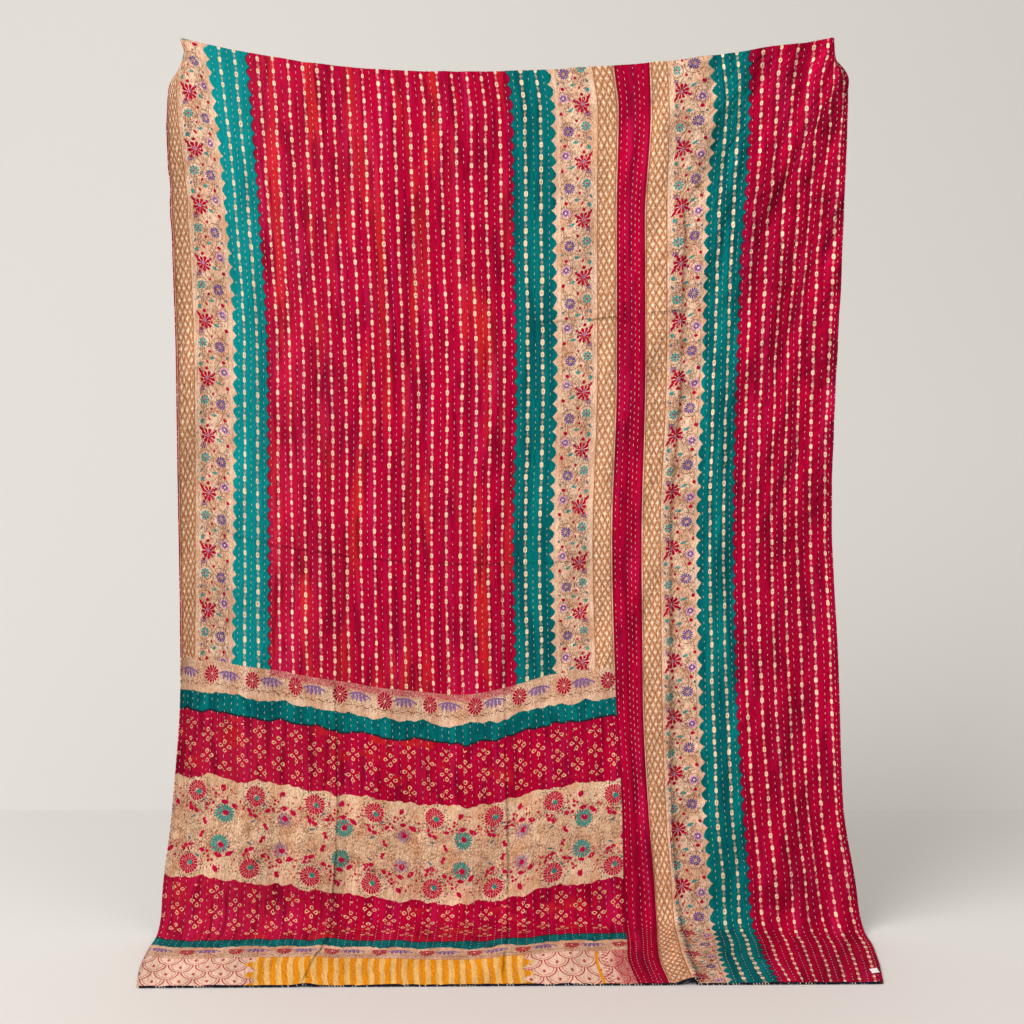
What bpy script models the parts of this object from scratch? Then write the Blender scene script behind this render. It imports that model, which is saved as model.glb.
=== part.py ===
"""A kantha quilt held up by its two top corners, its lower end lying forward on the floor.

Metres, +Z up. The front of the cloth faces -Y. The origin is at the middle of the top edge.
"flat" is the distance from the left edge and "down" the distance from the top edge, both
measured along the cloth as it was before it was hung.
"""

import math

import bmesh
import bpy
import numpy as np

# The quilt laid flat
QUILT_LENGTH = 2.280
FRONT_THICKNESS = 0.0014
BACKING_THICKNESS = 0.0014
LAYER_GAP = 0.0003

# How it hangs: the top edge sags between its two held corners, and the hem lies on the floor
TOP_LOWEST_X = -0.130
TOP_LEFT_X = -0.734
TOP_RIGHT_X = 0.725
TOP_LEFT_RISE = 0.074
TOP_RIGHT_RISE = 0.078
TOP_MIDDLE_HEIGHT = 1.918
FLOOR_BEND_RADIUS = 0.060
HEM_FORWARD_LEFT = 0.328
HEM_FORWARD_RIGHT = 0.307

# A soft pleat runs down the right-hand flowered band: the cloth left of it stands forward
PLEAT_FLAT_TOP = 1.200
PLEAT_FLAT_BOTTOM = 1.175
PLEAT_HIDDEN = 0.013
PLEAT_OVERHANG = 0.001
PLEAT_STARTS = 0.20
PLEAT_FULL = 0.45
PLEAT_SPREAD = 0.050
PLEAT_FLOOR_RISE = 0.012

# Fine gathers between the printed rows
PUCKER_PITCH = 0.066
PUCKER_RISE = 0.0015

# The hanging folds die away round the bend at the floor: distances past the bend's start
FLOOR_FADE_FROM = -0.070
FLOOR_FADE_TO = 0.072

LABEL_SIZE = (0.017, 0.024, 0.0006)
LABEL_FLAT = 1.581
LABEL_DOWN = 2.222
LABEL_TURN = math.radians(10)

# Lines that run down the whole cloth: name and flat distance from the left edge. The pleat's
# two lines come between strip_end and teal_right, and are worked out from its own sizes.
LINES_LEFT_OF_PLEAT = (
    ("left_edge", 0.000),
    ("lattice", 0.049),
    ("curl", 0.095),
    ("teal", 0.143),
    ("field", 0.237),
    ("field_end", 0.815),
    ("seam", 1.052),
    ("strip_end", 1.119),
)
LINES_RIGHT_OF_PLEAT = (
    ("teal_right", 1.262),
    ("field_right", 1.356),
    ("third_row", 1.446),
    ("sixth_row", 1.545),
    ("right_edge", 1.594),
)

# X of each line at sections down the cloth, as it hangs
SECTION_COLUMNS = (
    "down", "left_edge", "lattice", "curl", "teal", "field", "field_end", "seam",
    "strip_end", "pleat", "teal_right", "field_right", "third_row", "sixth_row", "right_edge",
)
SECTIONS = (
    (0.00, -0.702, -0.724, -0.732, -0.681, -0.587, -0.007, 0.232,
     0.312, 0.379, 0.446, 0.536, 0.645, 0.726, 0.702),
    (0.10, -0.760, -0.742, -0.703, -0.665, -0.578, 0.004, 0.243,
     0.315, 0.386, 0.457, 0.538, 0.632, 0.723, 0.752),
    (0.35, -0.747, -0.718, -0.676, -0.636, -0.560, 0.007, 0.239,
     0.301, 0.387, 0.440, 0.525, 0.613, 0.700, 0.743),
    (0.70, -0.734, -0.701, -0.660, -0.614, -0.541, 0.013, 0.240,
     0.303, 0.381, 0.433, 0.510, 0.592, 0.679, 0.725),
    (1.05, -0.728, -0.697, -0.656, -0.615, -0.540, 0.007, 0.231,
     0.297, 0.361, 0.423, 0.503, 0.584, 0.672, 0.714),
    (1.40, -0.725, -0.697, -0.657, -0.618, -0.539, 0.013, 0.240,
     0.300, 0.363, 0.429, 0.510, 0.592, 0.685, 0.730),
    (1.70, -0.745, -0.706, -0.666, -0.620, -0.536, 0.022, 0.256,
     0.315, 0.368, 0.440, 0.527, 0.610, 0.696, 0.741),
    (1.92, -0.772, -0.728, -0.684, -0.638, -0.550, 0.025, 0.259,
     0.329, 0.381, 0.454, 0.543, 0.633, 0.723, 0.775),
    (2.03, -0.775, -0.729, -0.684, -0.637, -0.545, 0.023, 0.256,
     0.320, 0.379, 0.453, 0.544, 0.635, 0.733, 0.784),
    (2.15, -0.767, -0.721, -0.676, -0.630, -0.538, 0.016, 0.248,
     0.312, 0.375, 0.442, 0.537, 0.626, 0.722, 0.771),
    (2.28, -0.741, -0.695, -0.652, -0.606, -0.517, 0.018, 0.257,
     0.319, 0.375, 0.441, 0.540, 0.614, 0.703, 0.747),
)

# How far each side edge curls forward of its neighbour; below zero it is gathered behind
EDGE_CURLS = (
    {"down": 0.00, "left_rise": -0.042, "right_rise": -0.034},
    {"down": 0.10, "left_rise": 0.004, "right_rise": -0.004},
    {"down": 0.35, "left_rise": 0.036, "right_rise": 0.016},
    {"down": 0.70, "left_rise": 0.034, "right_rise": 0.018},
    {"down": 1.05, "left_rise": 0.038, "right_rise": 0.018},
    {"down": 1.40, "left_rise": 0.038, "right_rise": 0.016},
    {"down": 1.70, "left_rise": 0.028, "right_rise": 0.012},
    {"down": 1.92, "left_rise": 0.008, "right_rise": 0.004},
    {"down": 2.03, "left_rise": 0.000, "right_rise": 0.000},
    {"down": 2.28, "left_rise": 0.000, "right_rise": 0.000},
)
LEFT_CURL_FLAT = 0.095
RIGHT_CURL_FLAT = 1.520

# Soft folds, each a ridge (rise above zero) or a trough, between two points of the flat cloth
FOLD_COLUMNS = ("flat_top", "down_top", "flat_bottom", "down_bottom", "half_width", "rise")
HANGING_FOLDS = {
    "left_teal_ridge": (0.190, 0.05, 0.200, 2.30, 0.050, 0.006),
    "left_field_trough": (0.262, 0.10, 0.270, 2.30, 0.035, -0.004),
    "field_ridge_a": (0.340, 0.15, 0.330, 2.30, 0.055, 0.005),
    "field_trough_a": (0.430, 0.20, 0.420, 2.30, 0.050, -0.005),
    "field_ridge_b": (0.520, 0.10, 0.500, 2.30, 0.060, 0.005),
    "field_trough_b": (0.610, 0.20, 0.600, 2.30, 0.050, -0.005),
    "field_ridge_c": (0.705, 0.10, 0.690, 2.30, 0.055, 0.004),
    "field_trough_c": (0.800, 0.15, 0.780, 2.30, 0.045, -0.004),
    "flowered_ridge": (0.930, 0.10, 0.950, 2.30, 0.070, 0.006),
    "strip_trough": (1.085, 0.05, 1.085, 2.30, 0.032, -0.005),
    "right_teal_ridge": (1.310, 0.30, 1.300, 2.30, 0.050, 0.006),
    "right_field_ridge": (1.425, 0.25, 1.420, 2.30, 0.055, 0.011),
    "right_field_trough": (1.520, 0.12, 1.515, 2.30, 0.055, -0.013),
    "right_drag_trough": (1.560, 0.05, 1.330, 0.62, 0.050, -0.010),
    "right_drag_ridge": (1.480, 0.05, 1.210, 0.55, 0.050, 0.007),
    "left_drag_trough": (0.110, 0.03, 0.300, 0.45, 0.045, -0.006),
}
# Creases left by storage, which also show where the cloth lies on the floor
CREASES = {
    "left_crease": (0.397, 1.28, 0.385, 2.14, 0.034, 0.003),
    "left_crease_foot": (0.391, 1.97, 0.330, 2.45, 0.034, 0.003),
    "middle_crease": (0.790, 1.12, 0.785, 2.40, 0.034, 0.003),
}

# Mesh: steps between neighbouring lines, and the distances down of the cross rows
COLUMN_STEPS = {
    "left_edge": 3, "lattice": 3, "curl": 2, "teal": 4, "field": 17, "field_end": 8,
    "seam": 3, "strip_end": 4, "pleat_front": 3, "pleat_back": 4, "teal_right": 4,
    "field_right": 4, "third_row": 5, "sixth_row": 4,
}
ROWS_DOWN = (
    0.00, 0.03, 0.06, 0.10, 0.15, 0.22, 0.30, 0.41, 0.55, 0.70, 0.88, 1.05, 1.22, 1.38,
    1.54, 1.70, 1.80, 1.88, 1.93, 1.96, 1.99, 2.02, 2.05, 2.09, 2.15, 2.21, 2.28,
)

# Colour, roughness and metallic value of each piece
FINISHES = {
    "left_sari_panel": ((0.508, 0.003, 0.032, 1.0), 0.62, 0.0),
    "right_sari_panel": ((0.455, 0.003, 0.030, 1.0), 0.62, 0.0),
    "backing_cloth": ((0.010, 0.012, 0.030, 1.0), 0.80, 0.0),
    "corner_label": ((0.800, 0.790, 0.760, 1.0), 0.70, 0.0),
}

REST_HEIGHT = BACKING_THICKNESS + LAYER_GAP / 2


def smooth_through(knots, values, at):
    """Read a smooth curve through the knots that never overshoots them (a monotone cubic)."""
    knots = np.asarray(knots, float)
    values = np.asarray(values, float)
    at = np.clip(at, knots[0], knots[-1])
    step = np.diff(knots)
    slope = np.diff(values) / step
    product = slope[:-1] * slope[1:]
    total = np.where(product > 0, slope[:-1] + slope[1:], 1.0)
    inner = np.where(product > 0, 2 * product / total, 0.0)
    tangent = np.concatenate([slope[:1], inner, slope[-1:]])
    i = np.clip(np.searchsorted(knots, at, side="right") - 1, 0, len(step) - 1)
    t = (at - knots[i]) / step[i]
    return (
        (2 * t**3 - 3 * t**2 + 1) * values[i]
        + (t**3 - 2 * t**2 + t) * step[i] * tangent[i]
        + (3 * t**2 - 2 * t**3) * values[i + 1]
        + (t**3 - t**2) * step[i] * tangent[i + 1]
    )


def ease(value, start, end):
    """Rise smoothly from 0 at start to 1 at end."""
    t = np.clip((value - start) / (end - start), 0.0, 1.0)
    return t * t * (3 - 2 * t)


def bump(distance, half_width):
    """A rounded ridge of height 1 that is exactly zero beyond its half width."""
    return 0.5 + 0.5 * np.cos(math.pi * np.clip(distance / half_width, -1.0, 1.0))


def pleat_strength(down):
    return float(ease(down, PLEAT_STARTS, PLEAT_FULL))


def pleat_flat(down):
    """Flat positions of the pleat's front and back fold lines."""
    front = PLEAT_FLAT_TOP + (PLEAT_FLAT_BOTTOM - PLEAT_FLAT_TOP) * down / QUILT_LENGTH
    return front, front + PLEAT_HIDDEN


def section_x(down):
    """X of every line at this distance down, by name."""
    table = np.array(SECTIONS)
    found = {
        name: float(smooth_through(table[:, 0], table[:, i], down))
        for i, name in enumerate(SECTION_COLUMNS)
        if i
    }
    strength = pleat_strength(down)
    found["pleat_front"] = found.pop("pleat")
    opened = PLEAT_HIDDEN * (1 - strength) - PLEAT_OVERHANG * strength
    found["pleat_back"] = found["pleat_front"] + opened
    return found


def lines_at(down):
    """Every line's name and flat position at this distance down, from left to right."""
    front, back = pleat_flat(down)
    pleat = (("pleat_front", front), ("pleat_back", back))
    return LINES_LEFT_OF_PLEAT + pleat + LINES_RIGHT_OF_PLEAT


def x_across(flat, down):
    """X of points at these flat distances: smooth on both sides of the pleat, straight in it."""
    lines = lines_at(down)
    place = section_x(down)
    split = [name for name, _ in lines].index("pleat_back")
    left = lines[:split]
    right = lines[split:]
    on_left = smooth_through([f for _, f in left], [place[n] for n, _ in left], flat)
    on_right = smooth_through([f for _, f in right], [place[n] for n, _ in right], flat)
    front, back = pleat_flat(down)
    share = np.clip((flat - front) / (back - front), 0.0, 1.0)
    return on_left * (1 - share) + on_right * share


def pleat_depth(flat, down, floor_share):
    """Height of the pleat: forward on its left and back on its right, above zero on the floor."""
    front, back = pleat_flat(down)
    strength = pleat_strength(down)
    ahead = PLEAT_HIDDEN / 2 * (1 - floor_share) + PLEAT_FLOOR_RISE * floor_share
    behind = -PLEAT_HIDDEN / 2 * (1 - floor_share)
    left = ahead * bump(np.minimum(flat - front, 0.0), PLEAT_SPREAD)
    right = behind * bump(np.maximum(flat - back, 0.0), PLEAT_SPREAD)
    share = np.clip((flat - front) / (back - front), 0.0, 1.0)
    return strength * (left * (1 - share) + right * share)


def fold_depth(flat, down, folds):
    """Sum of the folds' heights at these flat distances."""
    total = np.zeros_like(flat)
    for row in folds.values():
        fold = dict(zip(FOLD_COLUMNS, row))
        length = fold["down_bottom"] - fold["down_top"]
        share = (down - fold["down_top"]) / length
        if not 0 < share < 1:
            continue
        centre = fold["flat_top"] + share * (fold["flat_bottom"] - fold["flat_top"])
        fade = ease(share, 0.0, 0.2) * ease(1 - share, 0.0, 0.2)
        total += fold["rise"] * fade * bump(flat - centre, fold["half_width"])
    return total


def curl(rise, share):
    """An edge curls forward on a round section, and is gathered back on a straight one."""
    return rise * (share**2 if rise > 0 else share)


def curl_depth(flat, down):
    """Height of the two side edges, from their neighbours outwards."""
    downs = [row["down"] for row in EDGE_CURLS]
    left_rise = smooth_through(downs, [row["left_rise"] for row in EDGE_CURLS], down)
    right_rise = smooth_through(downs, [row["right_rise"] for row in EDGE_CURLS], down)
    right_edge = LINES_RIGHT_OF_PLEAT[-1][1]
    left = np.clip((LEFT_CURL_FLAT - flat) / LEFT_CURL_FLAT, 0.0, 1.0)
    right = np.clip((flat - RIGHT_CURL_FLAT) / (right_edge - RIGHT_CURL_FLAT), 0.0, 1.0)
    return curl(left_rise, left) + curl(right_rise, right)


def depth_across(flat, down, floor_share):
    """How far the cloth stands out of its smooth hanging shape, towards its front."""
    pucker = PUCKER_RISE * np.cos(2 * math.pi * flat / PUCKER_PITCH)
    hanging = fold_depth(flat, down, HANGING_FOLDS) + pucker
    steady = curl_depth(flat, down) + pleat_depth(flat, down, floor_share)
    return hanging * (1 - floor_share) + fold_depth(flat, down, CREASES) + steady


def top_edge_height(x):
    """Height of the sagging top edge: two half parabolas that meet at its lowest point."""
    left = (x - TOP_LOWEST_X) / (TOP_LEFT_X - TOP_LOWEST_X)
    right = (x - TOP_LOWEST_X) / (TOP_RIGHT_X - TOP_LOWEST_X)
    return np.where(x < TOP_LOWEST_X, TOP_LEFT_RISE * left**2, TOP_RIGHT_RISE * right**2)


def hanging_path(flat, down):
    """The smooth cloth: down, round the bend, and forward along the floor.

    Gives Y, Z, the angle turned so far, and the share of the floor's flat shape.
    """
    right_edge = LINES_RIGHT_OF_PLEAT[-1][1]
    floor = REST_HEIGHT - TOP_MIDDLE_HEIGHT
    top = top_edge_height(x_across(flat, 0.0))
    drop = top - floor - FLOOR_BEND_RADIUS
    arc = FLOOR_BEND_RADIUS * math.pi / 2
    share = flat / right_edge
    hem_y = -(HEM_FORWARD_LEFT + (HEM_FORWARD_RIGHT - HEM_FORWARD_LEFT) * share)
    bend_y = hem_y + (QUILT_LENGTH - drop - arc) + FLOOR_BEND_RADIUS
    turned = np.clip((down - drop) / FLOOR_BEND_RADIUS, 0.0, math.pi / 2)
    along_floor = np.maximum(down - drop - arc, 0.0)
    hung = np.minimum(down, drop)
    y = bend_y * ease(hung, 0.0, drop)
    y = y - FLOOR_BEND_RADIUS * (1 - np.cos(turned)) - along_floor
    z = np.where(
        down < drop, top - hung, floor + FLOOR_BEND_RADIUS * (1 - np.sin(turned))
    )
    return y, z, turned, ease(down - drop, FLOOR_FADE_FROM, FLOOR_FADE_TO)


def cloth_points(flat, down):
    """Points of the middle surface, between the layers, at one distance down."""
    y, z, turned, floor_share = hanging_path(flat, down)
    depth = depth_across(flat, down, floor_share)
    return np.column_stack(
        [x_across(flat, down), y - depth * np.cos(turned), z + depth * np.sin(turned)]
    )


def flat_columns(down, first, last, trim_first=0.0, trim_last=0.0):
    """Flat positions of the mesh columns from one line to another at this distance down."""
    lines = lines_at(down)
    names = [name for name, _ in lines]
    found = []
    for i in range(names.index(first), names.index(last)):
        steps = COLUMN_STEPS[names[i]]
        found.extend(np.linspace(lines[i][1], lines[i + 1][1], steps, endpoint=False))
    found.append(lines[names.index(last)][1])
    found[0] += trim_first
    found[-1] -= trim_last
    return np.array(found)


def make_material(name):
    colour, roughness, metallic = FINISHES[name]
    material = bpy.data.materials.new(name)
    material.use_nodes = True
    shader = material.node_tree.nodes["Principled BSDF"]
    shader.inputs["Base Color"].default_value = colour
    shader.inputs["Roughness"].default_value = roughness
    shader.inputs["Metallic"].default_value = metallic
    material.diffuse_color = colour
    return material


def add_object(name, bm, collection):
    mesh = bpy.data.meshes.new(name)
    bm.to_mesh(mesh)
    bm.free()
    mesh.materials.append(make_material(name))
    obj = bpy.data.objects.new(name, mesh)
    collection.objects.link(obj)
    return obj


def make_cloth(name, collection, first, last, side, thickness, trims=(0.0, 0.0)):
    """One layer: a grid laid on the middle surface, moved to its side and given thickness."""
    rows = [cloth_points(flat_columns(d, first, last, *trims), d) for d in ROWS_DOWN]
    points = np.array(rows)
    row_steps = len(ROWS_DOWN) - 1
    column_steps = points.shape[1] - 1
    bm = bmesh.new()
    bmesh.ops.create_grid(bm, x_segments=column_steps, y_segments=row_steps, size=0.5)
    for vertex in bm.verts:
        column = round((vertex.co.x + 0.5) * column_steps)
        row = round((0.5 - vertex.co.y) * row_steps)
        vertex.co = points[row, column]
    cloth = add_object(name, bm, collection)
    cloth.data.shade_smooth()
    part = cloth.modifiers.new("layer_gap", "DISPLACE")
    part.strength = side * LAYER_GAP / 2
    part.mid_level = 0.0
    shell = cloth.modifiers.new("cloth_thickness", "SOLIDIFY")
    shell.thickness = thickness
    shell.offset = side
    return cloth


def make_label(collection):
    """A blank tab sewn flat on the front, by the right-hand end of the hem."""
    bm = bmesh.new()
    bmesh.ops.create_cube(bm, size=1.0)
    bmesh.ops.scale(bm, vec=LABEL_SIZE, verts=bm.verts)
    label = add_object("corner_label", bm, collection)
    x, y, z = cloth_points(np.array([LABEL_FLAT]), LABEL_DOWN)[0]
    front = LAYER_GAP / 2 + FRONT_THICKNESS
    label.location = (x, y, z + front + LAYER_GAP + LABEL_SIZE[2] / 2)
    label.rotation_euler.z = LABEL_TURN
    return label


def main():
    for obj in list(bpy.data.objects):
        bpy.data.objects.remove(obj, do_unlink=True)
    collection = bpy.data.collections.new("kantha_quilt")
    bpy.context.scene.collection.children.link(collection)

    seam_trim = LAYER_GAP / 2
    make_cloth(
        "left_sari_panel", collection, "left_edge", "seam", 1, FRONT_THICKNESS, (0.0, seam_trim)
    )
    make_cloth(
        "right_sari_panel", collection, "seam", "right_edge", 1, FRONT_THICKNESS, (seam_trim, 0.0)
    )
    make_cloth("backing_cloth", collection, "left_edge", "right_edge", -1, BACKING_THICKNESS)
    make_label(collection)


main()
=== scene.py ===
import math

import bpy
import numpy as np
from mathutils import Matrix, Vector


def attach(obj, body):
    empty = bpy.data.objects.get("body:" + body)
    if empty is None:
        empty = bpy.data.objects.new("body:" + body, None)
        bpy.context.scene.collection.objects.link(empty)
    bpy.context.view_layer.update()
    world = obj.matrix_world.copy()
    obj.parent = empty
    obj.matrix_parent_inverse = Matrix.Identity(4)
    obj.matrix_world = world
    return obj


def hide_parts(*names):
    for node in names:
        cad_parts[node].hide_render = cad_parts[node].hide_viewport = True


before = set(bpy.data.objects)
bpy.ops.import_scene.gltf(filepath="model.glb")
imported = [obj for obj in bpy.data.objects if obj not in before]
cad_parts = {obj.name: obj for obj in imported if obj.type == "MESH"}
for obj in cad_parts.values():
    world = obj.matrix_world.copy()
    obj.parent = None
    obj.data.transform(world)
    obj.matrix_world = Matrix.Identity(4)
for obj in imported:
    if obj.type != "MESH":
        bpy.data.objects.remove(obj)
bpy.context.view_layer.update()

# the cloth as it hangs, in metres: "flat" is from the left edge, "down" from the top edge

quilt = {
    "length": 2.280,
    "frontLift": 0.00155,  # from the middle surface to the printed face
    "backLift": -0.00155,
    "clothThickness": 0.0012,
}
hang = {
    "topLowestX": -0.130,
    "topLeftX": -0.734,
    "topRightX": 0.725,
    "topLeftRise": 0.074,
    "topRightRise": 0.078,
    "floor": -1.918,
    "bendRadius": 0.060,
    "hemForwardLeft": 0.328,
    "hemForwardRight": 0.307,
    "fadeFrom": -0.070,
    "fadeTo": 0.072,
}
pleat = {
    "flatTop": 1.200,
    "flatBottom": 1.175,
    "hidden": 0.013,
    "overhang": 0.001,
    "starts": 0.20,
    "full": 0.45,
    "spread": 0.050,
    "floorRise": 0.012,
}
linesLeftOfPleat = {
    "leftEdge": 0.000, "lattice": 0.049, "curl": 0.095, "teal": 0.143, "field": 0.237,
    "fieldEnd": 0.815, "seam": 1.052, "stripEnd": 1.119,
}
linesRightOfPleat = {
    "tealRight": 1.262, "fieldRight": 1.356, "thirdRow": 1.446, "sixthRow": 1.545,
    "rightEdge": 1.594,
}
quiltWidth = linesRightOfPleat["rightEdge"]
sectionColumns = (
    "leftEdge", "lattice", "curl", "teal", "field", "fieldEnd", "seam",
    "stripEnd", "pleatFront", "tealRight", "fieldRight", "thirdRow", "sixthRow", "rightEdge",
)
sections = {  # distance down, then X of each line there
    0.00: (-0.702, -0.724, -0.732, -0.681, -0.587, -0.007, 0.232,
           0.312, 0.379, 0.446, 0.536, 0.645, 0.726, 0.702),
    0.10: (-0.760, -0.742, -0.703, -0.665, -0.578, 0.004, 0.243,
           0.315, 0.386, 0.457, 0.538, 0.632, 0.723, 0.752),
    0.35: (-0.747, -0.718, -0.676, -0.636, -0.560, 0.007, 0.239,
           0.301, 0.387, 0.440, 0.525, 0.613, 0.700, 0.743),
    0.70: (-0.734, -0.701, -0.660, -0.614, -0.541, 0.013, 0.240,
           0.303, 0.381, 0.433, 0.510, 0.592, 0.679, 0.725),
    1.05: (-0.728, -0.697, -0.656, -0.615, -0.540, 0.007, 0.231,
           0.297, 0.361, 0.423, 0.503, 0.584, 0.672, 0.714),
    1.40: (-0.725, -0.697, -0.657, -0.618, -0.539, 0.013, 0.240,
           0.300, 0.363, 0.429, 0.510, 0.592, 0.685, 0.730),
    1.70: (-0.745, -0.706, -0.666, -0.620, -0.536, 0.022, 0.256,
           0.315, 0.368, 0.440, 0.527, 0.610, 0.696, 0.741),
    1.92: (-0.772, -0.728, -0.684, -0.638, -0.550, 0.025, 0.259,
           0.329, 0.381, 0.454, 0.543, 0.633, 0.723, 0.775),
    2.03: (-0.775, -0.729, -0.684, -0.637, -0.545, 0.023, 0.256,
           0.320, 0.379, 0.453, 0.544, 0.635, 0.733, 0.784),
    2.15: (-0.767, -0.721, -0.676, -0.630, -0.538, 0.016, 0.248,
           0.312, 0.375, 0.442, 0.537, 0.626, 0.722, 0.771),
    2.28: (-0.741, -0.695, -0.652, -0.606, -0.517, 0.018, 0.257,
           0.319, 0.375, 0.441, 0.540, 0.614, 0.703, 0.747),
}
edgeCurls = {  # distance down, then how far the left and right edges stand forward
    0.00: (-0.042, -0.034), 0.10: (0.004, -0.004), 0.35: (0.036, 0.016), 0.70: (0.034, 0.018),
    1.05: (0.038, 0.018), 1.40: (0.038, 0.016), 1.70: (0.028, 0.012), 1.92: (0.008, 0.004),
    2.03: (0.000, 0.000), 2.28: (0.000, 0.000),
}
leftCurlFlat = 0.095
rightCurlFlat = 1.520
foldColumns = ("flatTop", "downTop", "flatBottom", "downBottom", "halfWidth", "rise")
hangingFolds = {
    "leftTealRidge": (0.190, 0.05, 0.200, 2.30, 0.050, 0.006),
    "leftFieldTrough": (0.262, 0.10, 0.270, 2.30, 0.035, -0.004),
    "fieldRidgeA": (0.340, 0.15, 0.330, 2.30, 0.055, 0.005),
    "fieldTroughA": (0.430, 0.20, 0.420, 2.30, 0.050, -0.005),
    "fieldRidgeB": (0.520, 0.10, 0.500, 2.30, 0.060, 0.005),
    "fieldTroughB": (0.610, 0.20, 0.600, 2.30, 0.050, -0.005),
    "fieldRidgeC": (0.705, 0.10, 0.690, 2.30, 0.055, 0.004),
    "fieldTroughC": (0.800, 0.15, 0.780, 2.30, 0.045, -0.004),
    "floweredRidge": (0.930, 0.10, 0.950, 2.30, 0.070, 0.006),
    "stripTrough": (1.085, 0.05, 1.085, 2.30, 0.032, -0.005),
    "rightTealRidge": (1.310, 0.30, 1.300, 2.30, 0.050, 0.006),
    "rightFieldRidge": (1.425, 0.25, 1.420, 2.30, 0.055, 0.011),
    "rightFieldTrough": (1.520, 0.12, 1.515, 2.30, 0.055, -0.013),
    "rightDragTrough": (1.560, 0.05, 1.330, 0.62, 0.050, -0.010),
    "rightDragRidge": (1.480, 0.05, 1.210, 0.55, 0.050, 0.007),
    "leftDragTrough": (0.110, 0.03, 0.300, 0.45, 0.045, -0.006),
}
creases = {  # left by storage; they also show where the cloth lies on the floor
    "leftCrease": (0.397, 1.28, 0.385, 2.14, 0.034, 0.003),
    "leftCreaseFoot": (0.391, 1.97, 0.330, 2.45, 0.034, 0.003),
    "middleCrease": (0.790, 1.12, 0.785, 2.40, 0.034, 0.003),
}


def smoothThrough(knots, values, at):  # a monotone cubic, so it never overshoots
    knots = np.asarray(knots, float)
    values = np.asarray(values, float)
    at = np.clip(at, knots[0], knots[-1])
    step = np.diff(knots)
    slope = np.diff(values) / step
    product = slope[:-1] * slope[1:]
    total = np.where(product > 0, slope[:-1] + slope[1:], 1.0)
    inner = np.where(product > 0, 2 * product / total, 0.0)
    tangent = np.concatenate([slope[:1], inner, slope[-1:]])
    i = np.clip(np.searchsorted(knots, at, side="right") - 1, 0, len(step) - 1)
    t = (at - knots[i]) / step[i]
    return (
        (2 * t**3 - 3 * t**2 + 1) * values[i]
        + (t**3 - 2 * t**2 + t) * step[i] * tangent[i]
        + (3 * t**2 - 2 * t**3) * values[i + 1]
        + (t**3 - t**2) * step[i] * tangent[i + 1]
    )


def easeUp(value, start, end):
    t = np.clip((value - start) / (end - start), 0.0, 1.0)
    return t * t * (3 - 2 * t)


def ridge(distance, halfWidth):  # 1 in the middle, 0 beyond its half width
    return 0.5 + 0.5 * np.cos(math.pi * np.clip(distance / halfWidth, -1.0, 1.0))


def pleatAt(down):  # flat places of its two fold lines, and how far it has closed
    front = pleat["flatTop"] + (pleat["flatBottom"] - pleat["flatTop"]) * down / quilt["length"]
    return front, front + pleat["hidden"], float(easeUp(down, pleat["starts"], pleat["full"]))


def acrossAt(flat, down):  # X of the cloth at these flat places
    downs = list(sections)
    table = np.array(list(sections.values()))
    place = {
        name: float(smoothThrough(downs, table[:, i], down))
        for i, name in enumerate(sectionColumns)
    }
    front, back, strength = pleatAt(down)
    opened = pleat["hidden"] * (1 - strength) - pleat["overhang"] * strength
    place["pleatBack"] = place["pleatFront"] + opened
    left = {**linesLeftOfPleat, "pleatFront": front}
    right = {"pleatBack": back, **linesRightOfPleat}
    onLeft = smoothThrough(list(left.values()), [place[n] for n in left], flat)
    onRight = smoothThrough(list(right.values()), [place[n] for n in right], flat)
    share = np.clip((flat - front) / (back - front), 0.0, 1.0)
    return onLeft * (1 - share) + onRight * share


def foldDepth(flat, down, folds):
    total = np.zeros_like(flat)
    for row in folds.values():
        fold = dict(zip(foldColumns, row))
        share = (down - fold["downTop"]) / (fold["downBottom"] - fold["downTop"])
        if 0 < share < 1:
            centre = fold["flatTop"] + share * (fold["flatBottom"] - fold["flatTop"])
            fade = easeUp(share, 0.0, 0.2) * easeUp(1 - share, 0.0, 0.2)
            total += fold["rise"] * fade * ridge(flat - centre, fold["halfWidth"])
    return total


def pleatDepth(flat, down, floorShare):
    front, back, strength = pleatAt(down)
    ahead = pleat["hidden"] / 2 * (1 - floorShare) + pleat["floorRise"] * floorShare
    behind = -pleat["hidden"] / 2 * (1 - floorShare)
    left = ahead * ridge(np.minimum(flat - front, 0.0), pleat["spread"])
    right = behind * ridge(np.maximum(flat - back, 0.0), pleat["spread"])
    share = np.clip((flat - front) / (back - front), 0.0, 1.0)
    return strength * (left * (1 - share) + right * share)


def curlDepth(flat, down):
    downs = list(edgeCurls)
    rises = np.array(list(edgeCurls.values()))
    total = 0.0
    for side, share in (
        (0, np.clip((leftCurlFlat - flat) / leftCurlFlat, 0.0, 1.0)),
        (1, np.clip((flat - rightCurlFlat) / (quiltWidth - rightCurlFlat), 0.0, 1.0)),
    ):
        rise = smoothThrough(downs, rises[:, side], down)
        total = total + rise * (share**2 if rise > 0 else share)
    return total


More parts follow.
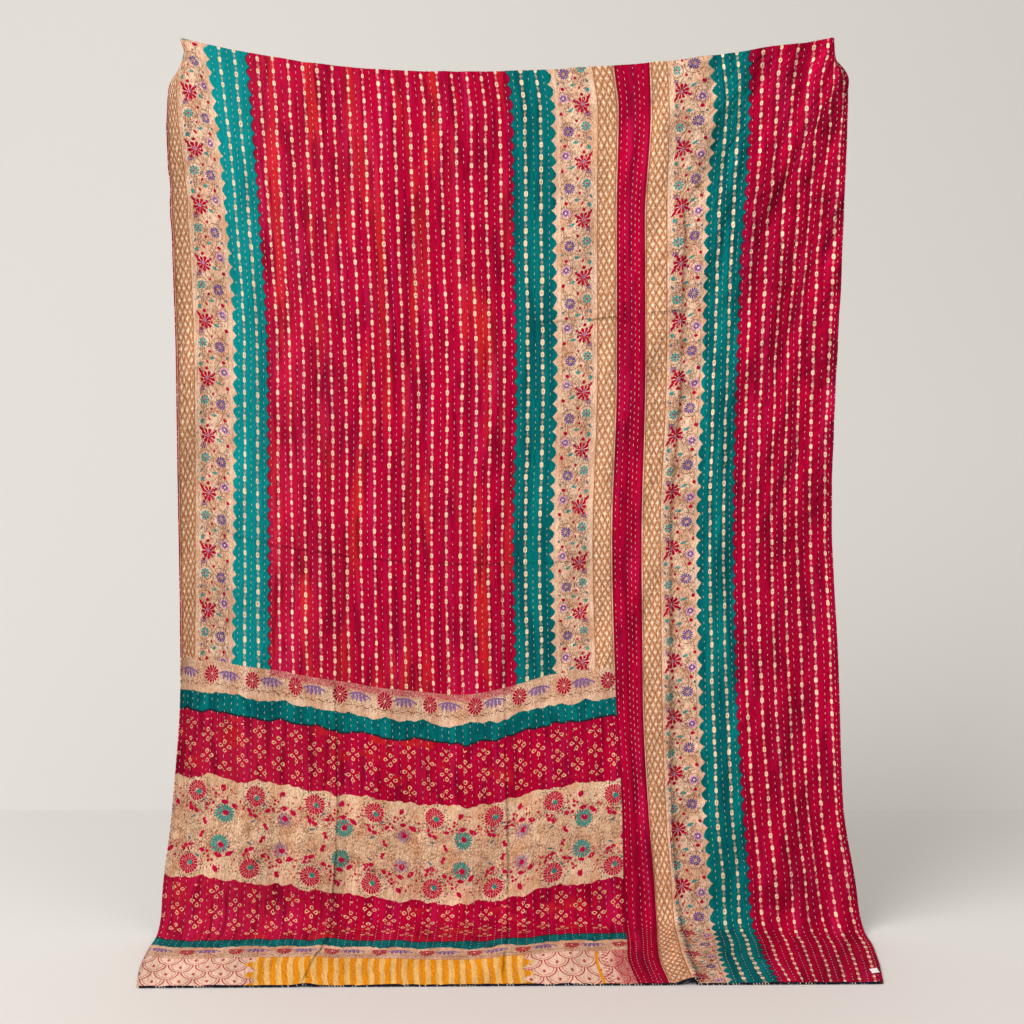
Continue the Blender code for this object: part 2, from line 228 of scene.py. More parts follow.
def clothRow(flat, down):  # points of the middle surface at one distance down, and floor share
    x = acrossAt(flat, 0.0)
    leftShare = (x - hang["topLowestX"]) / (hang["topLeftX"] - hang["topLowestX"])
    rightShare = (x - hang["topLowestX"]) / (hang["topRightX"] - hang["topLowestX"])
    top = np.where(
        x < hang["topLowestX"],
        hang["topLeftRise"] * leftShare**2,
        hang["topRightRise"] * rightShare**2,
    )
    radius = hang["bendRadius"]
    floor = hang["floor"] - quilt["backLift"]
    drop = top - floor - radius
    arc = radius * math.pi / 2
    forward = hang["hemForwardRight"] - hang["hemForwardLeft"]
    hemY = -(hang["hemForwardLeft"] + forward * flat / quiltWidth)
    bendY = hemY + (quilt["length"] - drop - arc) + radius
    turned = np.clip((down - drop) / radius, 0.0, math.pi / 2)
    y = bendY * easeUp(np.minimum(down, drop), 0.0, drop)
    y = y - radius * (1 - np.cos(turned)) - np.maximum(down - drop - arc, 0.0)
    z = np.where(down < drop, top - down, floor + radius * (1 - np.sin(turned)))
    floorShare = easeUp(down - drop, hang["fadeFrom"], hang["fadeTo"])
    depth = foldDepth(flat, down, hangingFolds) * (1 - floorShare)
    depth = depth + foldDepth(flat, down, creases) + curlDepth(flat, down)
    depth = depth + pleatDepth(flat, down, floorShare)
    x = acrossAt(flat, down)
    points = np.column_stack([x, y - depth * np.cos(turned), z + depth * np.sin(turned)])
    return points, floorShare


def addObject(name, data):
    made = bpy.data.objects.new(name, data)
    bpy.context.scene.collection.objects.link(made)
    return made


def unit(vectors):
    return vectors / np.maximum(np.linalg.norm(vectors, axis=-1, keepdims=True), 1e-12)


grid = {"columns": 798, "rows": 381}  # the middle surface, read between its points below
gridFlats = np.linspace(0.0, quiltWidth, grid["columns"])
gridDowns = np.linspace(0.0, quilt["length"], grid["rows"])
gridRows = [clothRow(gridFlats, down) for down in gridDowns]
gridPoints = np.array([row[0] for row in gridRows])
gridFloor = np.array([row[1] for row in gridRows])
gridAcross = unit(np.gradient(gridPoints, axis=1))
gridDown = unit(np.gradient(gridPoints, axis=0))
gridNormal = unit(np.cross(gridDown, gridAcross))  # towards the printed front
print("cloth surface worked out")


def readGrid(values, flat, down):
    column = np.clip(flat / quiltWidth, 0.0, 1.0) * (grid["columns"] - 1)
    row = np.clip(down / quilt["length"], 0.0, 1.0) * (grid["rows"] - 1)
    c = np.minimum(column.astype(int), grid["columns"] - 2)
    r = np.minimum(row.astype(int), grid["rows"] - 2)
    cShare = column - c
    rShare = row - r
    if values.ndim == 3:
        cShare = cShare[..., None]
        rShare = rShare[..., None]
    upper = values[r, c] * (1 - cShare) + values[r, c + 1] * cShare
    lower = values[r + 1, c] * (1 - cShare) + values[r + 1, c + 1] * cShare
    return upper * (1 - rShare) + lower * rShare


def softNoise(flat, down, cellFlat, cellDown, seed):  # -1 to 1, smooth between random cells
    cells = 256
    table = np.random.default_rng(seed).uniform(-1.0, 1.0, (cells, cells))
    x = flat / cellFlat + seed * 0.37
    y = down / cellDown + seed * 0.61
    c = np.floor(x).astype(int)
    r = np.floor(y).astype(int)
    fx = easeUp(x - c, 0.0, 1.0)
    fy = easeUp(y - r, 0.0, 1.0)
    a = table[r % cells, c % cells] * (1 - fx) + table[r % cells, (c + 1) % cells] * fx
    b = table[(r + 1) % cells, c % cells] * (1 - fx) + table[(r + 1) % cells, (c + 1) % cells] * fx
    return a * (1 - fy) + b * fy


# fine relief: long ripples, gathers between the stitched rows, and storage creases

ripples = {  # cell across, cell down, height, seed
    "long": (0.052, 0.62, 0.0038, 3),
    "middle": (0.024, 0.22, 0.0016, 5),
    "short": (0.014, 0.060, 0.0006, 7),
}
quilting = {"wander": 0.0022, "jitter": 0.0009, "puff": 0.0010, "seed": 11}
rowAnchors = (  # flat place of a stitched row, and how many steps lead to it
    (0.007, 0), (0.056, 3), (0.155, 6), (0.225, 4), (0.2615, 2), (0.7895, 32), (0.827, 2),
    (0.897, 4), (0.996, 6), (1.045, 3), (1.059, 1), (1.0703, 1), (1.088, 1), (1.0975, 1),
    (1.1057, 1), (1.124, 1), (1.156, 2), (1.172, 1), (1.255, 5), (1.274, 1), (1.344, 4),
    (1.362, 1), (1.3805, 1), (1.5785, 12), (1.587, 1),
)
dragFolds = {  # pulled towards the two top corners: flat and down of the corner, lean, reach
    "right": (1.594, 0.0, -0.82, 0.66, 1.60, 0.0100, 29),
    "left": (0.0, 0.0, 1.05, 0.45, 0.80, 0.0050, 37),
}
foldLines = {  # sharp creases across the cloth: down at the left and right, depth, half width
    "upperFold": (0.585, 0.560, -0.0016, 0.006),
    "lowerFold": (1.060, 1.085, -0.0014, 0.006),
}


def stitchRowFlats():
    rows = [rowAnchors[0][0]]
    for place, steps in rowAnchors[1:]:
        rows.extend(np.linspace(rows[-1], place, steps + 1)[1:])
    jitter = np.random.default_rng(quilting["seed"]).uniform(-1.0, 1.0, len(rows))
    jitter[[0, -1]] = 0.0
    return np.array(rows) + quilting["jitter"] * jitter


rowFlats = stitchRowFlats()


def rowDrift(flat, down):  # the stitched rows wander a little from straight
    seamGap = np.abs(flat - linesLeftOfPleat["seam"])
    edge = easeUp(np.minimum(np.minimum(flat, quiltWidth - flat), seamGap), 0.0, 0.03)
    return quilting["wander"] * edge * softNoise(flat, down, 0.20, 0.26, 13)


def puffAt(flat, down):  # 0 on a stitched row, 1 midway between two
    line = flat + rowDrift(flat, down)
    i = np.clip(np.searchsorted(rowFlats, line) - 1, 0, len(rowFlats) - 2)
    share = np.clip((line - rowFlats[i]) / (rowFlats[i + 1] - rowFlats[i]), 0.0, 1.0)
    return np.sin(math.pi * share)


def foldLineAt(flat, down):
    total = np.zeros_like(flat)
    for downLeft, downRight, depth, halfWidth in foldLines.values():
        line = downLeft + (downRight - downLeft) * flat / quiltWidth
        line = line + 0.006 * softNoise(flat, down, 0.09, 0.5, 17)
        worn = 0.55 + 0.45 * softNoise(flat, down, 0.12, 0.5, 19)
        total = total + depth * worn * ridge(down - line, halfWidth)
    return total


def dragAt(flat, down):
    total = np.zeros_like(flat)
    for cornerFlat, cornerDown, lean, reach, depth, height, seed in dragFolds.values():
        aside = (flat - cornerFlat) * math.cos(lean) - (down - cornerDown) * math.sin(lean)
        along = (flat - cornerFlat) * math.sin(lean) + (down - cornerDown) * math.cos(lean)
        near = ridge(flat - cornerFlat, reach) * ridge(down - cornerDown, depth)
        noise = softNoise(aside, along, 0.050, 0.36, seed)
        noise = noise + 0.30 * softNoise(aside, along, 0.018, 0.10, seed + 1)
        total = total + height * near * noise
    return total


def reliefAt(flat, down):
    share = readGrid(gridFloor, flat, down)
    total = dragAt(flat, down)
    for cellFlat, cellDown, height, seed in ripples.values():
        total = total + height * softNoise(flat, down, cellFlat, cellDown, seed)
    onFloor = 0.4 * np.maximum(total, 0.0)  # on the floor it can only rise
    total = total * (1 - share) + onFloor * share
    return total + foldLineAt(flat, down) * (1 - share)


def onCloth(flat, down, lift, puff=0.0):
    flat, down = np.broadcast_arrays(np.asarray(flat, float), np.asarray(down, float))
    out = lift + reliefAt(flat, down) + puff * puffAt(flat, down)
    normal = unit(readGrid(gridNormal, flat, down))
    return readGrid(gridPoints, flat, down) + normal * out[..., None]


# shader helpers

dyes = {  # sRGB, 0 to 255
    "crimson": (170, 1, 48),
    "orangeRed": (194, 34, 32),
    "magenta": (184, 18, 76),
    # a lighter, pinker crimson, painted over the left side as sheen
    "paintedSheenCrimson": (204, 58, 92),
    "darkCrimson": (122, 0, 36),
    "printRed": (164, 4, 50),
    "rosetteRed": (182, 14, 62),
    "teal": (0, 110, 110),
    "deepTeal": (0, 86, 90),
    "brightTeal": (8, 142, 144),
    "cream": (223, 187, 159),
    "paleCream": (242, 216, 188),
    "tan": (202, 154, 123),
    "orangeTan": (214, 164, 127),
    "ecru": (230, 195, 162),
    "ochre": (166, 104, 54),
    "brownLine": (150, 84, 44),
    "brown": (118, 66, 42),
    "vine": (122, 76, 60),
    "dot": (238, 208, 172),
    "link": (214, 132, 126),
    "ringTan": (234, 184, 138),
    "purple": (84, 60, 124),
    "lilac": (150, 116, 168),
    "grape": (118, 84, 142),
    "pink": (208, 138, 186),
    "leafTeal": (38, 134, 132),
    "blueGrey": (60, 98, 116),
    "flowerTeal": (46, 138, 130),
    "saffron": (232, 148, 18),
    "paleSaffron": (238, 194, 116),
    "outline": (180, 40, 62),
    "ink": (28, 30, 40),
    "navy": (20, 22, 38),
    "thread": (226, 206, 192),
    "label": (252, 251, 250),
    "paperCream": (240, 206, 182),
    "smudge": (112, 92, 146),
}


def dye(name):  # the colour as the shader needs it, linear
    shares = [channel / 255 for channel in dyes[name]]
    return [s / 12.92 if s <= 0.04045 else ((s + 0.055) / 1.055) ** 2.4 for s in shares] + [1.0]


class Wire:  # a shader value that can be written into sums
    def __init__(self, look, socket):
        self.look = look
        self.socket = socket

    def __add__(self, other):
        return self.look.maths("ADD", self, other)

    def __radd__(self, other):
        return self.look.maths("ADD", other, self)

    def __sub__(self, other):
        return self.look.maths("SUBTRACT", self, other)

    def __rsub__(self, other):
        return self.look.maths("SUBTRACT", other, self)

    def __mul__(self, other):
        return self.look.maths("MULTIPLY", self, other)

    def __rmul__(self, other):
        return self.look.maths("MULTIPLY", other, self)

    def __truediv__(self, other):
        return self.look.maths("DIVIDE", self, other)

    def __rtruediv__(self, other):
        return self.look.maths("DIVIDE", other, self)

    def __neg__(self):
        return self.look.maths("MULTIPLY", self, -1.0)


class Look:  # one material, with the few nodes that this cloth needs
    def __init__(self, name):
        self.material = bpy.data.materials.new(name)
        self.material.use_nodes = True
        self.tree = self.material.node_tree
        self.shader = self.tree.nodes["Principled BSDF"]

    def node(self, kind, settings, values, out=0):
        made = self.tree.nodes.new(kind)
        for key, value in settings.items():
            setattr(made, key, value)
        for key, value in values.items():
            if isinstance(value, Wire):
                self.tree.links.new(value.socket, made.inputs[key])
            else:
                made.inputs[key].default_value = value
        return Wire(self, made.outputs[out])

    def maths(self, operation, *values, clamp=False):
        settings = {"operation": operation, "use_clamp": clamp}
        return self.node("ShaderNodeMath", settings, dict(enumerate(values)))

    def mapUv(self, name, unit=1000.0):  # the map's two values, distances in millimetres
        uv = self.node("ShaderNodeUVMap", {"uv_map": name}, {})
        x = self.node("ShaderNodeSeparateXYZ", {}, {0: uv}, 0)
        y = Wire(self, x.socket.node.outputs[1])
        return x * unit, y * unit

    def noise(self, x, y, sizeX, sizeY, seed=0.0, detail=1.0):  # 0 to 1
        place = self.node("ShaderNodeCombineXYZ", {}, {0: x * (1 / sizeX) + seed, 1: y * (1 / sizeY)})
        settings = {"noise_dimensions": "2D"}
        values = {"Vector": place, "Scale": 1.0, "Detail": detail, "Roughness": 0.5}
        return self.node("ShaderNodeTexNoise", settings, values)

    def grain(self, sizeX, sizeY, seed=0.0, detail=1.0):  # noise on the flat cloth
        return self.noise(self.flat, self.down, sizeX, sizeY, seed, detail)

    def drift(self, amount, sizeX, sizeY, seed=0.0, detail=1.0):  # the same, to both sides of zero
        return (self.grain(sizeX, sizeY, seed, detail) - 0.5) * amount

    def chance(self, cell, seed):  # one random number, 0 to 1, for each whole cell number
        values = {"W": cell + seed}
        return self.node("ShaderNodeTexWhiteNoise", {"noise_dimensions": "1D"}, values)

    def netLines(self, x, y):  # distance from the lines of an uneven net
        place = self.node("ShaderNodeCombineXYZ", {}, {0: x, 1: y})
        settings = {"feature": "DISTANCE_TO_EDGE", "voronoi_dimensions": "2D"}
        return self.node("ShaderNodeTexVoronoi", settings, {"Vector": place, "Scale": 1.0})

    def inside(self, distance, soft=1.0):  # 1 where the distance is above zero
        return self.maths("MULTIPLY_ADD", distance, 1 / soft, 0.5, clamp=True)

    def either(self, *masks):
        found = masks[0]
        for mask in masks[1:]:
            found = self.maths("MAXIMUM", found, mask)
        return found

    def absolute(self, value):
        return self.maths("ABSOLUTE", value)

    def tint(self, mask, below, above):  # each colour is a wire or the name of a dye
        below, above = (dye(c) if isinstance(c, str) else c for c in (below, above))
        settings = {"data_type": "RGBA"}
        return self.node("ShaderNodeMix", settings, {0: mask, 6: below, 7: above}, 2)

    def shade(self, colour, amount):
        colour = dye(colour)[:3] if isinstance(colour, str) else colour
        return self.node("ShaderNodeVectorMath", {"operation": "SCALE"}, {0: colour, 3: amount})

    def reach(self, x, y):
        return self.maths("SQRT", x * x + y * y)

    def disc(self, x, y, radius, soft=1.0):
        return self.inside(radius - self.reach(x, y), soft)

    def leaf(self, x, y, length, width, angle):  # pointed at both ends, turned by degrees
        c = math.cos(math.radians(angle))
        s = math.sin(math.radians(angle))
        along = (x * c + y * s) * (2 / length)
        aside = self.absolute(y * c - x * s)
        return self.inside((1 - along * along) * (width / 2) - aside)

    def leaves(self, chart, *names):
        return [self.leaf(*chart[name]) for name in names]

    def discs(self, chart, *names):
        return [self.disc(*chart[name]) for name in names]

    def petals(self, x, y, radius, count, core, thin=0.45):  # a ring of separate petals
        reach = self.reach(x, y)
        turn = self.maths("ARCTAN2", y, x)
        lobe = self.absolute(self.maths("COSINE", turn * (count / 2)))
        tip = self.inside(radius * (0.72 + 0.28 * lobe) - reach)
        gap = self.inside((lobe - thin) * reach, 1.4)
        return tip * gap * self.inside(reach - core)

    def rosette(self, x, y, radius, count, core):  # two rings of petals, cut by pale lines
        reach = self.reach(x, y)
        turn = self.maths("ARCTAN2", y, x)
        outer = self.absolute(self.maths("SINE", turn * (count / 2)))
        inner = self.absolute(self.maths("SINE", turn * (count / 3) + 0.8))
        share = self.inside(reach - radius * 0.58, 1.2)
        lobe = outer * share + inner * (1 - share)
        gap = self.inside((lobe - 0.22) * reach, 1.4)
        ring = self.inside(self.absolute(reach - radius * 0.58) - 0.3, 1.0) * 0.5 + 0.5
        tip = self.inside(radius * 0.94 + outer * (radius * 0.06) - reach)
        return tip * gap * ring * self.inside(reach - core)

    def finish(self, colour, height, roughness=0.88, bump=1.0):
        values = {"Strength": bump, "Distance": 0.001, "Height": height}
        normal = self.node("ShaderNodeBump", {}, values)
        self.tree.links.new(colour.socket, self.shader.inputs["Base Color"])
        self.tree.links.new(normal.socket, self.shader.inputs["Normal"])
        self.shader.inputs["Roughness"].default_value = roughness
        self.shader.inputs["Specular IOR Level"].default_value = 0.05
        return self.material


# the printed cloth

clothSettings = {
    "blotch": (95.0, 150.0),  # millimetres across and down of the uneven dyeing
    "streak": (46.0, 420.0),
    "slub": (2.2, 9.0),
    "crinkle": (6.5, 21.0, 2.4),  # across, down, height
    "pucker": (2.9, 5.5, 0.95),
    "weave": (1.0, 1.0, 0.14),
    "drag": (10.0, 58.0, 3.6),  # slanting puckers, where the right side is pulled to its corner; quilted() also paints their light and shade into the colour
    "broadFoldShade": (46.0, 290.0),
}
sharpCreases = {  # millimetres: which way it runs, its place, its lean per metre, from, to; strength
    "upper": ("across", 562.0, -6.0, 830.0, 1270.0, 1.0),
    "lower": ("across", 1096.0, 10.0, 90.0, 1210.0, 0.8),
    "left": ("down", 397.0, -13.0, 1290.0, 2290.0, 1.7),
    "middle": ("down", 790.0, -4.0, 1130.0, 2290.0, 1.4),
}


def clothLook(name):  # a material that knows its place on the flat cloth
    look = Look(name)
    look.flat, look.down = look.mapUv("cloth")
    return look


def creaseMask(look, name):
    way, place, lean, start, end, strength = sharpCreases[name]
    aside, along = (look.down, look.flat) if way == "across" else (look.flat, look.down)
    drift = (look.noise(aside, along, 90.0, 40.0, place) - 0.5) * 7.0
    turned = look.maths("MAXIMUM", along - 2030.0, 0.0) * (0.14 if name == "left" else 0.0)
    line = look.absolute(aside - (along - start) * (lean / 1000.0) - drift - place + turned)
    fade = look.inside(along - (start + 30.0), 60.0) * look.inside(end - 30.0 - along, 60.0)
    broken = look.noise(aside, along, 30.0, 60.0, place + 5.0) * 1.6 - 0.1
    return look.inside(2.2 - line, 4.2) * fade * broken * strength


def quilted(look, colour, creases=(), rough=1.0):  # uneven dye, painted shade of folds, puckers, stitched valleys and creases, the gathered surface
    s = clothSettings
    flat, down = look.flat, look.down
    blotch = look.grain(*s["blotch"], 9.1, 2.0)
    slub = look.grain(*s["slub"], 21.0)
    crinkle = look.grain(*s["crinkle"][:2])
    pucker = look.grain(*s["pucker"][:2], 3.7)
    weave = look.grain(*s["weave"][:2], 7.4)
    height = crinkle * s["crinkle"][2] + pucker * s["pucker"][2] + weave * s["weave"][2]
    # the pucker term darkens the pucker hollows as painted shade; blotch and slub are the dye's own tone
    level = (blotch - 0.5) * 0.40 + (slub - 0.5) * (0.42 * rough) + (pucker - 0.5) * (0.45 * rough)
    pull = look.inside(flat - 1180.0, 300.0) * (1 - look.inside(down - 700.0, 900.0) * 0.6)
    slant = look.noise(flat + down, down - flat, *s["drag"][:2], 5.3)
    broadFoldShade = look.noise(flat + down * 0.36, down, *s["broadFoldShade"], 2.6)
    # the slanting puckers and the broad folds are also painted into the colour as light and shade
    height = height + slant * pull * s["drag"][2]
    level = level + (slant - 0.5) * pull * 1.1 + (broadFoldShade - 0.5) * (pull * 1.25 + 0.36)
    # darker along the stitched rows, where the cloth dips: painted shade
    valleyShade = 1 - look.mapUv("rows", 1.0)[0]
    level = level + (weave - 0.5) * (0.35 * rough) - valleyShade * valleyShade * valleyShade * 0.17 + 1.01
    # each crease is pressed into the bump and darkened in colour as painted shade
    for name in creases:
        fold = creaseMask(look, name)
        height = height - fold * 2.6
        level = level - fold * 0.27
    return look.finish(look.shade(colour, level), height)


def creamGround(look):
    worn = look.grain(34.0, 60.0, 2.3, 2.0)
    return look.tint(look.inside(worn - 0.52, 0.30), "cream", "tan")


def crimsonGround(look, streaks=0.75):
    streak = look.grain(*clothSettings["streak"], 4.4, 2.0)
    pale = look.grain(26.0, 300.0, 7.9, 1.0)
    deep = look.grain(17.0, 130.0, 1.9, 1.0)
    wide = look.inside(880.0 - look.flat, 60.0) * streaks
    colour = look.tint(look.inside(streak - 0.60, 0.14) * wide, "crimson", "orangeRed")
    colour = look.tint(look.inside(pale - 0.62, 0.20) * 0.5, colour, "magenta")
    # darker towards the right: painted shade, where the light falls off
    colour = look.tint(look.inside(look.flat - 1200.0, 60.0) * 0.22, colour, "darkCrimson")
    # lighter and pinker towards the left edge: painted sheen, where the light falls strongest
    colour = look.tint(look.inside(330.0 - look.flat, 260.0) * 0.13, colour, "paintedSheenCrimson")
    return look.tint(look.inside(deep - 0.60, 0.16) * 0.65, colour, "darkCrimson")


def chainMasks(look, aside, along, cell, scale=1.0):  # a row of ovals, with small beads between them
    pitch = 27.5
    place = along * (1 / pitch) + look.chance(cell, 0.3)
    number = look.maths("FLOOR", place)
    size = (look.chance(number + cell * 7.0, 0.7) * 0.26 + 0.84) * scale
    aside = look.absolute(aside + (look.chance(number + cell * 3.0, 0.2) - 0.5) * 1.6)
    at = look.absolute((place - number - 0.5) * pitch)
    wide = aside / (size * 3.35)
    tall = at / (size * 5.5)
    oval = look.inside((1 - wide * wide * wide - tall * tall * tall) * 4.0, 1.3)
    bead = look.reach(aside, (pitch / 2 - at) * 0.8)
    neck = look.inside(1.3 - aside, 1.2) * 0.55
    link = look.either(look.inside(2.5 * size - bead, 1.2), neck)
    centre = look.inside((0.16 - wide * wide - tall * tall) * 6.0)
    worn = look.inside(look.chance(number + cell * 5.0, 0.9) - 0.62, 0.1)
    return oval, link, centre * (worn * 0.6 + 0.15)


def chainOn(look, colour, masks, linkShare, linkDye="link"):
    oval, link, centre = masks
    colour = look.tint(link * linkShare, colour, linkDye)
    colour = look.tint(oval, colour, "dot")
    return look.tint(centre, colour, "ochre")


def startCloth(name):
    look = clothLook(name)
    return (look, *look.mapUv("band"))


def latticeCloth():
    look, across, along = startCloth("latticePrint")
    wobble = look.drift(5.0, 13.0, 22.0, 1.7)
    x = (across - 24.5 + wobble) * (1 / 13.4)
    y = (along + wobble * 1.5) * (1 / 27.0)
    rising = look.maths("FRACT", x + y) - 0.5
    falling = look.maths("FRACT", x - y) - 0.5
    nearest = 0.5 - look.maths("MAXIMUM", look.absolute(rising), look.absolute(falling))
    sideways = look.absolute(rising + falling) * 0.5
    upwards = look.absolute(rising - falling) * 0.5
    points = sideways + upwards + look.maths("SQRT", sideways * upwards) * 2.0
    worn = look.grain(9.0, 12.0, 5.0) * 0.8 + 0.55
    star = look.maths("MINIMUM", look.inside(0.34 - points, 0.16) * worn, 1.0)
    colour = look.tint(star, "tan", "paleCream")
    lines = look.maths("MINIMUM", look.inside(0.10 - nearest, 0.08) * worn, 1.0)
    colour = look.tint(lines, colour, "ochre")
    middle = look.inside(19.5 - look.absolute(across - 24.5 + wobble * 0.4), 1.4)
    colour = look.tint(middle, creamGround(look), colour)
    edge = look.absolute(look.absolute(across - 24.5 + wobble * 0.4) - 20.6)
    colour = look.tint(look.inside(1.3 - edge, 1.2) * 0.9, colour, "brownLine")
    return quilted(look, colour, ("upper",), 1.8)


flowerChart = {  # kind: (across from the teal edge, along, size...), in millimetres
    "crimsonStar": (64.0, 1.0, 18.0, 9),
    "starHeart": (65.0, -1.0, 3.4),
    "longPetal": (80.0, -15.0, 22.0, 6.0, -55.0),
    "sidePetal": (49.0, -7.0, 15.0, 5.0, 35.0),
    "topPetal": (74.0, 17.0, 13.0, 5.0, 60.0),
    "starBud": (66.0, -22.0, 4.0),
    "purpleBud": (48.0, -10.0, 2.6),
    "tealLeafA": (39.0, 11.0, 15.0, 6.4, -28.0),
    "redBudA": (18.0, 18.0, 9.5, 8.5, 60.0),
    "lilacFloret": (76.0, 21.0, 6.6, 6),
    "redDotA": (51.0, 36.0, 3.3),
    "tealRosette": (72.0, 48.0, 10.8, 8),
    "tealHeart": (72.0, 48.0, 2.2),
    "purpleRosette": (33.0, 58.0, 12.4, 14),
    "purpleHeart": (33.0, 58.0, 2.4),
    "redDotB": (56.0, 69.0, 3.3),
    "greyLeaf": (81.0, 76.0, 12.0, 5.0, 62.0),
    "blueDot": (17.0, 78.0, 3.0),
    "tealLeafB": (49.0, 84.0, 11.0, 7.6, 8.0),
    "redBudB": (25.0, 91.0, 9.5, 9.0, 20.0),
    "darkLeaf": (62.0, 91.0, 11.0, 4.6, -60.0),
    "tealDrop": (79.0, 96.0, 4.4),
    "pinkRosette": (25.0, -16.0, 7.4, 9),
    "pinkHeart": (25.0, -16.0, 1.9),
}


def placeChart(chart, x, y):  # each motif's own x and y, then its size
    return {name: (x - row[0], y - row[1], *row[2:]) for name, row in chart.items()}


def flowerCloth():
    look, across, along = startCloth("floweredPrint")
    repeat = 128.0
    start = -27.0
    x = across + look.drift(3.0, 15.0, 15.0, 5.1)
    y = along + look.drift(3.0, 15.0, 15.0, 8.8)
    cell = look.maths("FLOOR", (y - start) * (1 / repeat))
    y = y - cell * repeat
    x = x + (look.chance(cell, 0.4) - 0.5) * 3.0
    chart = placeChart(flowerChart, x, y)
    colour = creamGround(look)

    # vines: one that sways along the band, one round each rosette, a straight one, and scrolls
    sway = x - 46.0 - 17.0 * look.maths("SINE", y * (2 * math.pi / repeat) + 0.9)
    vines = look.either(
        look.inside(0.8 - look.absolute(sway), 1.0),
        look.inside(0.5 - look.absolute(x - 14.0), 0.9),
    )
    for name, radius in (("purpleRosette", 20.0), ("pinkRosette", 14.0), ("tealRosette", 16.0)):
        ring = look.reach(chart[name][0], chart[name][1]) - radius
        vines = look.either(vines, look.inside(0.6 - look.absolute(ring), 0.9))
    room = look.inside(84.0 - across, 4.0) * look.inside(across - 14.0, 4.0)
    bent = (look.noise(x, y, 5.0, 5.0, 6.6) - 0.5) * 7.0
    scroll = look.netLines((x + bent) * 0.15, (y - bent) * 0.15)
    broken = look.inside(look.noise(x, y, 17.0, 17.0, 3.3) - 0.50, 0.14)
    specks = look.inside(look.noise(x, y, 2.4, 2.4, 9.9) - 0.64, 0.06)
    scrolls = look.either(look.inside(0.085 - scroll, 0.07), specks) * broken
    colour = look.tint(look.either(vines * 0.95, scrolls * 0.95) * room, colour, "vine")

    teal = look.either(
        look.petals(*chart["tealRosette"], 2.8, 0.22),
        *look.leaves(chart, "tealLeafA", "tealLeafB"),
        look.disc(*chart["tealDrop"]),
    )
    colour = look.tint(teal * 0.95, colour, "leafTeal")
    grey = look.either(look.leaf(*chart["greyLeaf"]), look.disc(*chart["blueDot"]))
    colour = look.tint(grey * 0.9, colour, "blueGrey")
    lilac = look.petals(*chart["lilacFloret"], 2.0, 0.30)
    colour = look.tint(lilac * 0.85, colour, "purple")
    halo = look.petals(*chart["pinkRosette"][:2], 10.5, 9, 1.0, 0.2)
    colour = look.tint(halo * 0.8, colour, "pink")
    purple = look.either(
        look.petals(*chart["purpleRosette"], 3.4, 0.30),
        look.petals(*chart["pinkRosette"], 2.2, 0.30),
        look.disc(*chart["purpleBud"]),
    )
    colour = look.tint(purple, colour, "purple")
    starX, starY = chart["crimsonStar"][:2]
    leaning = starX * 1.04 + starY * 0.28
    red = look.either(
        look.petals(leaning, starY - starX * 0.10, *chart["crimsonStar"][2:], 1.6, 0.36),
        *look.leaves(chart, "longPetal", "sidePetal", "topPetal", "redBudA", "redBudB", "darkLeaf"),
        *look.discs(chart, "starBud", "redDotA", "redDotB", "tealHeart"),
    )
    colour = look.tint(red, colour, "printRed")
    colour = look.tint(look.disc(*chart["starHeart"]) * 0.75, colour, "lilac")
    colour = look.tint(look.disc(*chart["purpleHeart"]) * 0.8, colour, "ochre")
    colour = look.tint(look.disc(*chart["pinkHeart"]) * 0.9, colour, "paleCream")
    return quilted(look, colour, ("upper", "lower"), 2.4)


def tealCloth():
    look, across, along = startCloth("tealBorderPrint")
    width = 94.0
    wobble = look.drift(13.0, 30.0, 40.0, 6.2)
    ragged = look.drift(4.6, 3.6, 3.6, 1.2)
    tooth = look.absolute(look.maths("SINE", (along + wobble) * (math.pi / 31.0)))
    creamEdge = across + ragged + tooth * 11.0 - 6.5
    lobe = look.absolute(look.maths("SINE", (along - wobble) * (math.pi / 30.0)))
    redEdge = across + ragged * 0.8 + lobe * 8.0 - (width + 4.0)
    teal = look.grain(26.0, 240.0, 3.1, 2.0)
    colour = look.tint(look.inside(teal - 0.50, 0.24), "teal", "deepTeal")
    # brighter towards the left edge: painted light, where the light falls strongest
    leftLight = look.inside(300.0 - look.flat, 120.0)
    colour = look.tint(leftLight * 0.7, colour, "brightTeal")
    for cell, at in ((3.0, 30.0), (5.0, 65.0)):
        aside = across - at + look.drift(5.0, 40.0, 160.0, cell)
        masks = chainMasks(look, aside, along, look.chance(cell, 0.1) * 9.0, 1.17)
        colour = chainOn(look, colour, masks, 0.55, "tan")
    colour = look.tint(look.inside(-creamEdge, 1.2), colour, creamGround(look))
    colour = look.tint(look.inside(redEdge), colour, crimsonGround(look))
    outline = look.inside(1.5 - look.absolute(redEdge + 0.6), 1.8)
    colour = look.tint(outline * 0.75, colour, "ink")
    tips = look.inside(0.20 - lobe, 0.1) * look.inside(1.6 - look.absolute(redEdge + 3.6), 1.0)
    colour = look.tint(tips * 0.9, colour, "brightTeal")
    return quilted(look, colour, ("upper", "lower"))


def dottedCloth():
    look, across, along = startCloth("dottedFieldPrint")
    pitch = 33.0
    sway = look.drift(4.5, 60.0, 190.0, 8.3)
    line = (across - 24.5 + sway) * (1 / pitch)
    row = look.maths("ROUND", line)
    aside = (line - row) * pitch + (look.chance(row, 0.5) - 0.5) * 2.0
    colour = crimsonGround(look)
    colour = chainOn(look, colour, chainMasks(look, aside, along, row), 0.72)
    return quilted(look, colour, ("lower", "middle"), 1.35)


